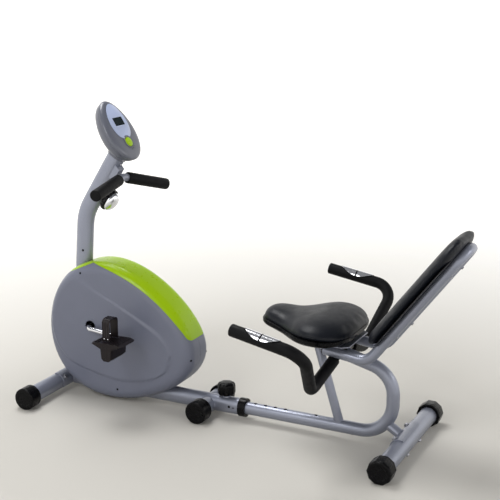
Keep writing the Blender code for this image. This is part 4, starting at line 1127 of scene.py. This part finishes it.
def lime_region(slack):
    """Side view of the lime cover's region: a thin strip by the post, then a long crescent."""
    notch = Vector((1.064, 0, 0.4650 + slack))
    rear = Vector((0.704, 0, 0.2430 + slack))
    chord = rear - notch
    sag = LEFT.cross(chord).normalized() * 0.044
    points = [(1.205, 0.4025 + slack), (notch.x, notch.z)]
    for i in range(1, 34):
        t = i / 36
        point = notch + chord * t + sag * 4 * t * (1 - t)
        points.append((point.x, point.z))
    tip = [(0.7205, 0.2635), (0.7145, 0.2560), (0.7075, 0.2505), (0.6995, 0.2475), (0.6910, 0.2470)]
    tip += [(0.6820, 0.2490), (0.6700, 0.2540), (0.6400, 0.2680)]
    return points + [(x, z + slack) for x, z in tip] + [(0.55, 0.30), (0.55, 0.56), (1.205, 0.56)]


def prism(outline, low, high):
    return loft([[at(x, y, z) for x, z in outline] for y in (low, high)])


def post_room():
    lower = (POST_BEND - POST_BASE).normalized()
    foot = placed(POST_BASE - lower * 0.06)
    path = [foot, placed(POST_BASE + lower * 0.16)]
    return loft(swept(path, oval(POST_HALF[0] + 0.0015, POST_HALF[1] + 0.0015), FORWARD))


def tube_room():
    return loft(swept([at(0.60, 0, MAIN_Z), at(1.30, 0, MAIN_Z)], stadium(0.050, 0.058), UP))


def build_cover():
    for side, word in ((1, "left"), (-1, "right")):
        half = placed_object("drive_cover_" + word, half_cover(side))
        cut(half, prism(lime_region(-0.0006), -0.1, 0.1))
        cut(half, tube_room())
        cut(half, post_room())
        show(half, "frame", "grey_plastic", (word + "_shroud",), 30)
    outside = both_shoulders(COVER_HALF, COVER_ROUND)
    inside = both_shoulders(COVER_HALF - COVER_WALL, COVER_ROUND - COVER_WALL)
    lime = placed_object("lime_cover", loft(egg_rings(outside)))
    cut(lime, prism(lime_region(0.0), -0.1, 0.1), "INTERSECT")
    cut(lime, loft(egg_rings(inside, 1, COVER_WALL)))
    cut(lime, post_room())
    show(lime, "frame", "lime_plastic", ("top_cover",), 30)
    screws = []
    for side in (1, -1):
        for station, z in ((1.104, 0.429), (0.703, 0.187), (0.973, 0.049)):
            spot, normal = cover_skin(station, z, side)
            screws.append(cross_screw(spot - normal * 0.0005, normal, 0.0036, 0.0022))
    piece("cover_screws", together(screws), "frame", "black_plastic")


def cover_skin(station, z, side):
    """The point and the outward normal of the cover's skin at a place in its side view."""
    outline = np.array(egg(0.0, 480))
    away = np.array((station, z)) - outline
    gaps = np.linalg.norm(away, axis=1)
    nearest = int(gaps.argmin())
    inset = float(gaps[nearest])
    outward = Vector((-away[nearest][0], 0, -away[nearest][1])).normalized()
    if inset >= COVER_ROUND:
        return at(station, side * COVER_HALF, z), LEFT * side
    flat = (COVER_ROUND - inset) / COVER_ROUND
    rise = math.sqrt(1 - flat * flat)
    y = COVER_HALF - COVER_ROUND + COVER_ROUND * rise
    return at(station, side * y, z), (outward * flat + LEFT * side * rise).normalized()


# ---------------------------------------------------------------- drive and pedals


def crank_arm():
    return Vector((-math.cos(CRANK_DROP), 0, -math.sin(CRANK_DROP)))


def pedal_centre(side):
    return at(CRANK.x, side * PEDAL_Y, CRANK.z) + crank_arm() * CRANK_LENGTH * side


def build_drive():
    """The bent crank, and the wheels, belt and brake inside the cover."""
    hub = placed(CRANK)
    arm = crank_arm()
    over = CRANK_LENGTH + 0.011
    corners = [
        hub + arm * over + LEFT * CRANK_REACH,
        hub + LEFT * (CRANK_REACH - 0.008),
        hub - LEFT * (CRANK_REACH - 0.008),
        hub - arm * over - LEFT * CRANK_REACH,
    ]
    shape = bar(rounded(corners, [0.020, 0.020], 12), 0.008, 0.002, 28)
    piece("crank_forging", shape, "crankset", "chrome_plate", nodes=["crank"])
    inside = {
        "drive_pulley": ("crankset", "black_plastic"), "flywheel": ("flywheel_body", "cast_iron"),
        "idler_pulley": ("idler_body", "black_plastic"), "magnet_arm": ("brake", "steel"),
        "drive_belt": ("frame", "belt_rubber"), "flywheel_axle": ("frame", "steel"),
        "flywheel_bracket": ("frame", "steel"), "idler_arm": ("frame", "steel"),
        "bearing_cup_left": ("frame", "steel"), "bearing_cup_right": ("frame", "steel"),
    }
    for node, (body, skin) in inside.items():
        finished(node, body, skin, 0.0)


def build_pedals():
    for side, word in ((1, "left"), (-1, "right")):
        centre = pedal_centre(side)
        body = word + "_pedal_body"
        finish_as = (body, "pedal_plastic", "black_plastic")
        shape = together(pedal_shapes(centre))
        made = piece(word + "_pedal_moulding", shape, *finish_as, [word + "_pedal"], 30)
        ease_edges(made, 0.0009, 2, 30)
        piece(word + "_strap", strap_shape(centre), *finish_as, [word + "_pedal_strap"], 30)
        rivets = []
        head = [(0.0023, -0.0006), (0.0023, 0.0004), (0.0016, 0.0012), (0.0006, 0.0015)]
        for edge in (1, -1):
            for x in (0.0035, 0.0165):
                spot = centre + Vector((x, edge * 0.0242, 0.027))
                rivets.append(turned(spot, LEFT * edge, head, 20))
        piece(word + "_strap_rivets", together(rivets), body, "silver_cap", "black_plastic")
        finished(word + "_pedal_spindle", "crankset", "steel", 0.0)


def pedal_shapes(centre):
    """A deck with raised treads and end webs over a tapered counterweight."""
    outline = [(-0.058, 0.0135), (-0.040, 0.0188), (0.040, 0.0188), (0.058, 0.0135), (0.038, 0.0055)]
    outline += [(0.022, -0.001), (0.019, -0.032), (0.010, -0.040), (-0.010, -0.040), (-0.019, -0.032)]
    outline += [(-0.022, -0.001), (-0.038, 0.0055)]
    rings = []
    for y, size in ((-0.044, 0.90), (-0.030, 1.0), (0.030, 1.0), (0.044, 0.90)):
        rings.append([centre + Vector((x * size, y, z)) for x, z in outline])
    shapes = [loft(rings)]
    for i in range(11):
        x = -0.040 + 0.008 * i
        reach = 0.0195 if -0.008 < x < 0.028 else 0.040
        low = centre + Vector((x - 0.0014, -reach, 0.0180))
        high = centre + Vector((x + 0.0014, reach, 0.0206))
        shapes.append(block(low, high))
    for edge in (1, -1):
        for x in (-0.014, 0.0, 0.014):
            low = centre + Vector((x - 0.0013, edge * 0.0430 - 0.0015, -0.034))
            high = centre + Vector((x + 0.0013, edge * 0.0430 + 0.0015, 0.010))
            shapes.append(block(low, high))
    return shapes


def block(low, high):
    corners = ((0, 0), (1, 0), (1, 1), (0, 1))
    rings = []
    for z in (low.z, high.z):
        rings.append([Vector(((low.x, high.x)[i], (low.y, high.y)[j], z)) for i, j in corners])
    return loft(rings)


def strap_shape(centre):
    """A moulded band with three long ribs, arched across the foot."""
    out = 0.0240 - 0.0016
    middle = centre + FORWARD * 0.010
    arch = ((-out, 0.0205), (-out, 0.0895), (out, 0.0895), (out, 0.0205))
    corners = [middle + Vector((0, y, z)) for y, z in arch]
    path = rounded(corners, [0.012, 0.012], 10)
    section = []
    for i in range(25):
        along = -0.0135 + 0.027 * i / 24
        ridge = 0.5 + 0.5 * math.cos(3 * 2 * math.pi * i / 24)
        section.append((0.0010 + 0.0012 * ridge, along))
    section += [(-0.0014, 0.0135), (-0.0014, -0.0135)]
    return loft(swept(path, [(-a, b) for a, b in section], FORWARD))


# ---------------------------------------------------------------- seat frame


def loop_path():
    slope = math.tan(math.radians(14.3))
    rise = 0.260 - (0.140 - LOOP_REAR) * slope
    corners = [
        at(0.760, 0, MAIN_Z), at(LOOP_REAR, 0, MAIN_Z), at(LOOP_REAR, 0, rise),
        at(0.300, 0, rise + (0.300 - LOOP_REAR) * slope),
    ]
    return rounded(corners, [0.100, 0.090], 24)


def back_up():
    return Vector((-math.cos(BACK_ANGLE), 0, math.sin(BACK_ANGLE)))


def back_out():
    return Vector((math.sin(BACK_ANGLE), 0, math.cos(BACK_ANGLE)))


def rail_path():
    foot = placed(BACK_FOOT)
    top = foot + back_up() * BACK_LENGTH
    front = at(0.240, 0, 0.3065)
    half = [front + LEFT * RAIL_Y, foot + LEFT * RAIL_Y, top + LEFT * BACK_TOP_Y]
    other = [Vector((p.x, -p.y, p.z)) for p in reversed(half)]
    return rounded([*half, *other], [0.055, BACK_TOP_Y - 0.005, BACK_TOP_Y - 0.005, 0.055], 12)


def build_seat_frame():
    sizes = bpy.context.scene.bike_sizes
    radius = sizes.slide_radius
    shape = hollow(loop_path(), circle(radius), circle(radius - 0.002))
    tube = placed_object("slide_tube", shape)
    drills = []
    for i in (2, 1, 0, -1, -2, -3, -4, -5, -6, -9):
        spot = at(PIN_STATION + PIN_PITCH * i, 0, MAIN_Z + 0.009)
        drills.append(straight(spot, spot + UP * 0.021, 0.0060, 0.0001, 20))
    cut(tube, together(drills))
    show(tube, "seat_carriage", "grey_paint", ("seat_frame_tube",))
    low = at(0.215, 0, MAIN_Z + 0.008)
    high = at(0.287, 0, 0.283)
    strut = straight(low, high, sizes.strut_radius, 0.0005)
    piece("strut_tube", strut, "seat_carriage", "grey_paint", nodes=["seat_strut"])
    rails = hollow(rail_path(), circle(sizes.rail_radius, 32), circle(sizes.rail_radius - 0.0015, 32), UP)
    piece("backrest_rails", rails, "seat_carriage", "grey_paint", nodes=["backrest_tube"])
    lean = (high - low).normalized()
    foot = at(0.215, 0, MAIN_Z)
    bead = sizes.weld_radius
    beads = [weld(foot, lean, sizes.strut_radius, at(0.2, 0, MAIN_Z), FORWARD, radius, bead)]
    neck = (Vector((0.0768, 0, 0.0850)) - Vector((0, 0, STABILISER_Z))).normalized()
    start = at(0, 0, STABILISER_Z)
    beads.append(weld(start, neck, 0.0155, start, LEFT, 0.0305, bead))
    piece("seat_frame_welds", together(beads), "seat_carriage", "grey_paint")
    plug = [(0.0138, 0.0), (0.0138, 0.004), (0.0154, 0.0042), (0.0154, 0.0062), (0.0130, 0.0078)]
    plugs = []
    for side in (1, -1):
        end = at(0.240, side * RAIL_Y, 0.3065)
        plugs.append(turned(end - FORWARD * 0.004, FORWARD, plug, 32))
    piece("rail_end_plugs", together(plugs), "seat_carriage", "black_plastic")
    finished("saddle_plate", "seat_carriage", "grey_paint", 0.0008)
    build_stabiliser_bolts()


def build_stabiliser_bolts():
    """Bolts through the two cradles. Those at the rear have room for nuts below the tube."""
    size = bpy.context.scene.bike_sizes.bolt_head
    for word, body, angle in (("front", "frame", 145), ("rear", "seat_carriage", 45)):
        shapes = []
        ray = Vector((math.cos(math.radians(angle)), 0, math.sin(math.radians(angle))))
        centre = at(STABILISERS[word], 0, STABILISER_Z)
        for side in (1, -1):
            spot = centre + ray * 0.0303 + LEFT * side * 0.056
            shapes.append(hexagon(spot, ray, size, 0.0065, 1.35))
            if word == "rear":
                back = centre - ray * 0.0268 + LEFT * side * 0.056
                shapes.append(hexagon(back, -ray, size * 0.86, 0.0050, 1.25))
        piece(word + "_cradle_bolts", together(shapes), body, "steel")


def build_seat_pin():
    """The lobed knob that is lifted to free the seat, drawn lifted."""
    base = at(PIN_STATION, 0, MAIN_Z + 0.0205)
    low = MAIN_Z + 0.027 + 0.008 + 0.0006 - base.z
    shank = [(0.0034, 0.0), (0.0040, 0.0008), (0.0040, low + 0.012), (0.0038, low + 0.0125)]
    pin = turned(base, UP, shank, 28)
    body = [(0.0150, low + 0.010), (0.0150, low), (0.0262, low), (0.0285, low + 0.003)]
    body += [(0.0292, low + 0.008), (0.0290, low + 0.026), (0.0280, low + 0.032)]
    body += [(0.0250, low + 0.0365), (0.0200, low + 0.0385), (0.0120, low + 0.0392)]
    knob = turned(base, UP, body, section=lobed(1.0, 7, 0.10))
    piece("seat_pin_body", together([pin, knob]), "seat_pin", "black_plastic", nodes=["seat_pin_knob"])


# ---------------------------------------------------------------- saddle and backrest pad


def between(rows, t):
    """A Catmull-Rom blend of rows of numbers, t counted in rows."""
    i = min(int(t), len(rows) - 2)
    u = t - i
    around = [np.array(rows[min(max(i + k, 0), len(rows) - 1)]) for k in (-1, 0, 1, 2)]
    return catmull_rom(*around, u)


def saddle_ring(t, shrink, floor, lid, sides=56):
    station, half, low, high = between(SADDLE_SLICES, t)
    half = max(half - shrink, 0.006)
    low += floor
    high -= lid
    edge = low + (high - low) * 0.42
    points = []
    for i in range(sides):
        angle = 2 * math.pi * i / sides
        above = math.sin(angle) > 0
        y = half * math.copysign(abs(math.cos(angle)) ** (0.85 if above else 0.6), math.cos(angle))
        lift = math.copysign(abs(math.sin(angle)) ** (0.9 if above else 0.6), math.sin(angle))
        points.append(at(station, y, edge + lift * (high - edge if above else edge - low)))
    return points


def pan_ring(t, sides=56):
    """A section of the moulded pan: rolled under at the sides and flat where the cushion sits."""
    station, half, low, high = between(SADDLE_SLICES, t)
    lip = low + (high - low) * SADDLE_LIP
    points = []
    for i in range(sides):
        angle = 2 * math.pi * i / sides
        y = half * math.copysign(abs(math.cos(angle)) ** 0.6, math.cos(angle))
        drop = abs(math.sin(angle)) ** 0.6 if math.sin(angle) < 0 else -0.12 * math.sin(angle)
        points.append(at(station, y * (0.985 if drop < 0 else 1.0), lip - drop * (lip - low)))
    return points


def build_saddle():
    """A foam top upholstered in vinyl, seated in a moulded pan."""
    steps = np.linspace(0, len(SADDLE_SLICES) - 1, 49)
    rings = []
    for t in steps:
        low, high = between(SADDLE_SLICES, t)[2:]
        rings.append(saddle_ring(t, 0.003, (high - low) * SADDLE_LIP - 0.008, 0.004))
    rise = bpy.context.scene.bike_sizes.cushion_rise * 0.6
    cushion("saddle_cushion", loft(rings), "seat_carriage", ("saddle",), rise, keep_below=0.353)
    pan = loft([pan_ring(t) for t in steps])
    piece("saddle_pan", pan, "seat_carriage", "black_plastic", "vinyl", angle=50)


def pad_ring(up, half, fat, thick, out):
    centre = placed(BACK_FOOT) + back_up() * up + back_out() * out
    ring = []
    for a, b in oval(half, thick * fat * 1.30, 48):
        front = 1.0 + 0.18 * (1 - (a / half) ** 2) if b > 0 else 1.0
        ring.append(centre + LEFT * a + back_out() * max(-thick * fat, min(thick * fat, b)) * front)
    return ring


def build_backrest():
    """A vinyl cushion on a moulded back board, grooved where it lies on the two rails."""
    shape = ((0.049, 0.084, 0.62), (0.058, 0.109, 0.88), (0.095, 0.126, 1.0), (0.250, 0.131, 1.0))
    shape += ((0.395, 0.122, 1.0), (0.441, 0.105, 0.95), (0.463, 0.074, 0.75))
    padding, backing = [], []
    for t in np.linspace(0, len(shape) - 1, 31):
        up, half, fat = between(shape, t)
        padding.append(pad_ring(up, half, fat, 0.0142, 0.0300))
        backing.append(pad_ring(0.060 + (up - 0.049) * 0.86, half - 0.006, 1.0, 0.0032, 0.0135))
    groove = loft(swept(rail_path(), circle(bpy.context.scene.bike_sizes.rail_radius + 0.0006, 28), UP))
    rise = bpy.context.scene.bike_sizes.cushion_rise * 0.6
    pad = cushion("backrest_cushion", loft(padding), "seat_carriage", ("backrest_pad",), rise)
    cut(pad, groove)
    show(pad, "seat_carriage", "vinyl", ("backrest_pad",), 60)
    board = piece("backrest_board", loft(backing), "seat_carriage", "black_plastic", "vinyl", angle=50)
    cut(board, groove)
    show(board, "seat_carriage", "black_plastic", angle=50)
    bolts = []
    for up in (0.12, 0.36):
        for side in (1, -1):
            reach = RAIL_Y + (BACK_TOP_Y - RAIL_Y) * up / BACK_LENGTH
            spot = placed(BACK_FOOT) + back_up() * up + LEFT * side * reach - back_out() * 0.0150
            bolts.append(hexagon(spot, -back_out(), 0.0045, 0.0035, 1.2))
    piece("backrest_bolts", together(bolts), "seat_carriage", "steel")


# ---------------------------------------------------------------- side handles


def handle_corners():
    half = [at(0.402, 0.357, 0.428), at(0.177, 0.366, 0.387), at(0.222, 0.215, 0.228)]
    other = [Vector((p.x, -p.y, p.z)) for p in reversed(half)]
    return [*half, at(0.205, 0, 0.2995), *other]


def build_handles():
    sizes = bpy.context.scene.bike_sizes
    corners = handle_corners()
    path = rounded(corners, [0.055, 0.045, 0.030, 0.045, 0.055], 14)
    shape = bar(shorten(path, 0.004, 0.004), sizes.bar_radius, 0.001, 28, UP)
    tube = placed_object("side_handle_bar", shape)
    cut(tube, loft(swept(loop_path(), circle(sizes.slide_radius + 0.0003))))
    show(tube, "seat_carriage", "black_plastic", ("seat_handlebar",))
    for side, word in ((1, "left"), (-1, "right")):
        own = corners if side > 0 else list(reversed(corners))
        end = own[2] + (own[3] - own[2]) * 0.68
        grip = rounded([own[0], own[1], own[2], end], [0.055, 0.045], 16)
        sleeve = foam_sleeve(grip, sizes.side_foam, sizes.bar_radius + 0.0009, 0.003)
        piece("side_foam_" + word, sleeve, "seat_carriage", "foam", nodes=["seat_grip_" + word])
        build_pulse_sensor(own[0], own[1], word)


def leaf(tip, along, side, rise, first, last, low, high, grow=0.0):
    """A curved leaf on a round grip, between two shares of its length."""
    rings = []
    for i in range(19):
        t = first + (last - first) * i / 18
        reach = math.radians(9 + 62 * max(math.sin(math.pi * t), 0.0) ** 0.85) + grow
        centre = tip + along * (0.044 + 0.105 * t)
        arc = [reach * (k / 8 - 1) for k in range(17)]
        ring = [centre + (side * math.sin(a) + rise * math.cos(a)) * high for a in arc]
        ring += [centre + (side * math.sin(a) + rise * math.cos(a)) * low for a in reversed(arc)]
        rings.append(ring)
    return loft(rings)


def build_pulse_sensor(tip, bend, word):
    """Two stainless leaf halves in a black moulded seat, split by a black band."""
    along = (bend - tip).normalized()
    side, rise = across(along)
    if rise.z < 0:
        rise = -rise
    halves = [leaf(tip, along, side, rise, a, b, 0.0187, 0.0206) for a, b in ((0.0, 0.475), (0.525, 1.0))]
    node = "pulse_sensor_" + word
    shape = together(halves)
    made = piece("pulse_plates_" + word, shape, "seat_carriage", "chrome_plate", nodes=[node], angle=30)
    ease_edges(made, 0.0005, 2, 30)
    seat = leaf(tip, along, side, rise, -0.03, 1.03, 0.0178, 0.0194, math.radians(5))
    piece("pulse_seat_" + word, seat, "seat_carriage", "black_plastic", "black_plastic", angle=30)


# ---------------------------------------------------------------- studio


def build_studio():
    """A pale floor that sweeps up all round into a wall, with a painted glow that grows further out, three
    soft lights and the camera.
    """
    floor = placed_object("studio_floor", studio_sweep())
    floor.data.shade_smooth()
    floor.data.materials.append(SKIN["floor"])
    world = bpy.data.worlds.new("Studio")
    world.use_nodes = True
    world.node_tree.nodes["Background"].inputs["Color"].default_value = linear("#f4f5f8")
    world.node_tree.nodes["Background"].inputs["Strength"].default_value = 0.30
    bpy.context.scene.world = world
    bpy.context.scene.view_settings.view_transform = "Standard"
    lamp("top_light", (1.2, -0.5, 3.0), (0.0, 0.0, 0.0), 1.6, 60)
    lamp("key_light", (0.6, 2.6, 2.4), (0.1, 0.0, 0.4), 1.2, 25)
    lamp("rear_light", (-2.6, -0.6, 1.4), (-0.1, 0.0, 0.4), 1.0, 8)
    place_camera()


def studio_sweep():
    """A dish: a flat floor, a wide curve, and a wall, 30 mm thick."""
    profile = [(0.001, 0.0), (6.0, 0.0)]
    for k in range(1, 13):
        angle = math.pi / 2 * k / 12
        profile.append((6.0 + 3.0 * math.sin(angle), 3.0 * (1 - math.cos(angle))))
    profile += [(9.0, 5.0), (9.03, 5.0), (9.03, 3.0), (6.0, -0.03), (0.001, -0.03)]
    return turned(Vector(), UP, profile, 96)


def lamp(name, place, target, size, power):
    light = bpy.data.lights.new(name, "AREA")
    light.shape = "DISK"
    light.size = size
    light.energy = power
    obj = bpy.data.objects.new(name, light)
    obj.location = place
    obj.rotation_euler = (Vector(target) - Vector(place)).to_track_quat("-Z", "Y").to_euler()
    bpy.context.scene.collection.objects.link(obj)


def place_camera():
    data = bpy.data.cameras.new("camera")
    data.lens = CAMERA_LENS
    data.sensor_width = 36
    obj = bpy.data.objects.new("camera", data)
    ahead = Vector((
        math.sin(CAMERA_YAW) * math.cos(CAMERA_PITCH),
        -math.cos(CAMERA_YAW) * math.cos(CAMERA_PITCH),
        -math.sin(CAMERA_PITCH),
    ))
    right = Vector((-math.cos(CAMERA_YAW), -math.sin(CAMERA_YAW), 0))
    upward = right.cross(ahead)
    basis = Matrix((right, upward, -ahead)).transposed()
    turn = basis @ Matrix.Rotation(CAMERA_ROLL, 3, "Z")
    obj.matrix_world = Matrix.Translation(CAMERA_PLACE) @ turn.to_4x4()
    bpy.context.scene.collection.objects.link(obj)
    bpy.context.scene.camera = obj


# ---------------------------------------------------------------- operators


class BIKE_OT_finishes(bpy.types.Operator):
    """Makes every material from the colours"""

    bl_idname = "bike.finishes"
    bl_label = "Mix the finishes"

    def execute(self, context):
        mix_finishes()
        return {"FINISHED"}


class BIKE_OT_floor_frame(bpy.types.Operator):
    """Builds the main tube, stabilisers, caps and collar"""

    bl_idname = "bike.floor_frame"
    bl_label = "Floor frame"

    def execute(self, context):
        build_floor_frame()
        return {"FINISHED"}


class BIKE_OT_post(bpy.types.Operator):
    """Builds the front post and its screws"""

    bl_idname = "bike.post"
    bl_label = "Front post"

    def execute(self, context):
        build_post()
        return {"FINISHED"}


class BIKE_OT_front_bar(bpy.types.Operator):
    """Builds the front bar, its grips, clamp and tension knob"""

    bl_idname = "bike.front_bar"
    bl_label = "Front bar"

    def execute(self, context):
        build_front_bar()
        return {"FINISHED"}


class BIKE_OT_console(bpy.types.Operator):
    """Builds the console, its panel, window and button"""

    bl_idname = "bike.console"
    bl_label = "Console"

    def execute(self, context):
        build_console()
        return {"FINISHED"}


class BIKE_OT_cover(bpy.types.Operator):
    """Builds the two cover halves, the lime cover and their screws"""

    bl_idname = "bike.cover"
    bl_label = "Drive cover"

    def execute(self, context):
        build_cover()
        return {"FINISHED"}


class BIKE_OT_drive(bpy.types.Operator):
    """Builds the crank and the wheels inside the cover"""

    bl_idname = "bike.drive"
    bl_label = "Drive"

    def execute(self, context):
        build_drive()
        return {"FINISHED"}


class BIKE_OT_pedals(bpy.types.Operator):
    """Builds the pedals, straps and rivets"""

    bl_idname = "bike.pedals"
    bl_label = "Pedals"

    def execute(self, context):
        build_pedals()
        return {"FINISHED"}


class BIKE_OT_seat_frame(bpy.types.Operator):
    """Builds the slide tube, strut, rails, welds and bolts"""

    bl_idname = "bike.seat_frame"
    bl_label = "Seat frame"

    def execute(self, context):
        build_seat_frame()
        return {"FINISHED"}


class BIKE_OT_seat_pin(bpy.types.Operator):
    """Builds the knob that frees the seat"""

    bl_idname = "bike.seat_pin"
    bl_label = "Seat pin"

    def execute(self, context):
        build_seat_pin()
        return {"FINISHED"}


class BIKE_OT_saddle(bpy.types.Operator):
    """Builds the upholstered saddle"""

    bl_idname = "bike.saddle"
    bl_label = "Saddle"

    def execute(self, context):
        build_saddle()
        return {"FINISHED"}


class BIKE_OT_backrest(bpy.types.Operator):
    """Builds the upholstered backrest pad"""

    bl_idname = "bike.backrest"
    bl_label = "Backrest"

    def execute(self, context):
        build_backrest()
        return {"FINISHED"}


class BIKE_OT_handles(bpy.types.Operator):
    """Builds the side handles, foam grips and pulse sensors"""

    bl_idname = "bike.handles"
    bl_label = "Side handles"

    def execute(self, context):
        build_handles()
        return {"FINISHED"}


class BIKE_OT_studio(bpy.types.Operator):
    """Builds the floor, the lights and the camera"""

    bl_idname = "bike.studio"
    bl_label = "Studio"

    def execute(self, context):
        build_studio()
        return {"FINISHED"}


BUILDERS = (
    BIKE_OT_finishes,
    BIKE_OT_floor_frame,
    BIKE_OT_post,
    BIKE_OT_front_bar,
    BIKE_OT_console,
    BIKE_OT_cover,
    BIKE_OT_drive,
    BIKE_OT_pedals,
    BIKE_OT_seat_frame,
    BIKE_OT_seat_pin,
    BIKE_OT_saddle,
    BIKE_OT_backrest,
    BIKE_OT_handles,
    BIKE_OT_studio,
)


class BIKE_PT_looks(bpy.types.Panel):
    """Lists the builders in the 3D view's sidebar."""

    bl_label = "Exercise Bike"
    bl_space_type = "VIEW_3D"
    bl_region_type = "UI"
    bl_category = "Bike"

    def draw(self, context):
        for made in BUILDERS:
            self.layout.operator(made.bl_idname)
        for group in (context.scene.bike_sizes, context.scene.bike_colours):
            for key in group.__annotations__:
                self.layout.prop(group, key)


CLASSES = (BikeSizes, BikeColours, *BUILDERS, BIKE_PT_looks)


def register():
    for made in CLASSES:
        bpy.utils.register_class(made)
    bpy.types.Scene.bike_sizes = bpy.props.PointerProperty(type=BikeSizes)
    bpy.types.Scene.bike_colours = bpy.props.PointerProperty(type=BikeColours)


def unregister():
    del bpy.types.Scene.bike_sizes
    del bpy.types.Scene.bike_colours
    for made in reversed(CLASSES):
        bpy.utils.unregister_class(made)


def main():
    register()
    for made in BUILDERS:
        getattr(bpy.ops.bike, made.bl_idname.split(".")[1])()


if __name__ == "__main__":
    main()
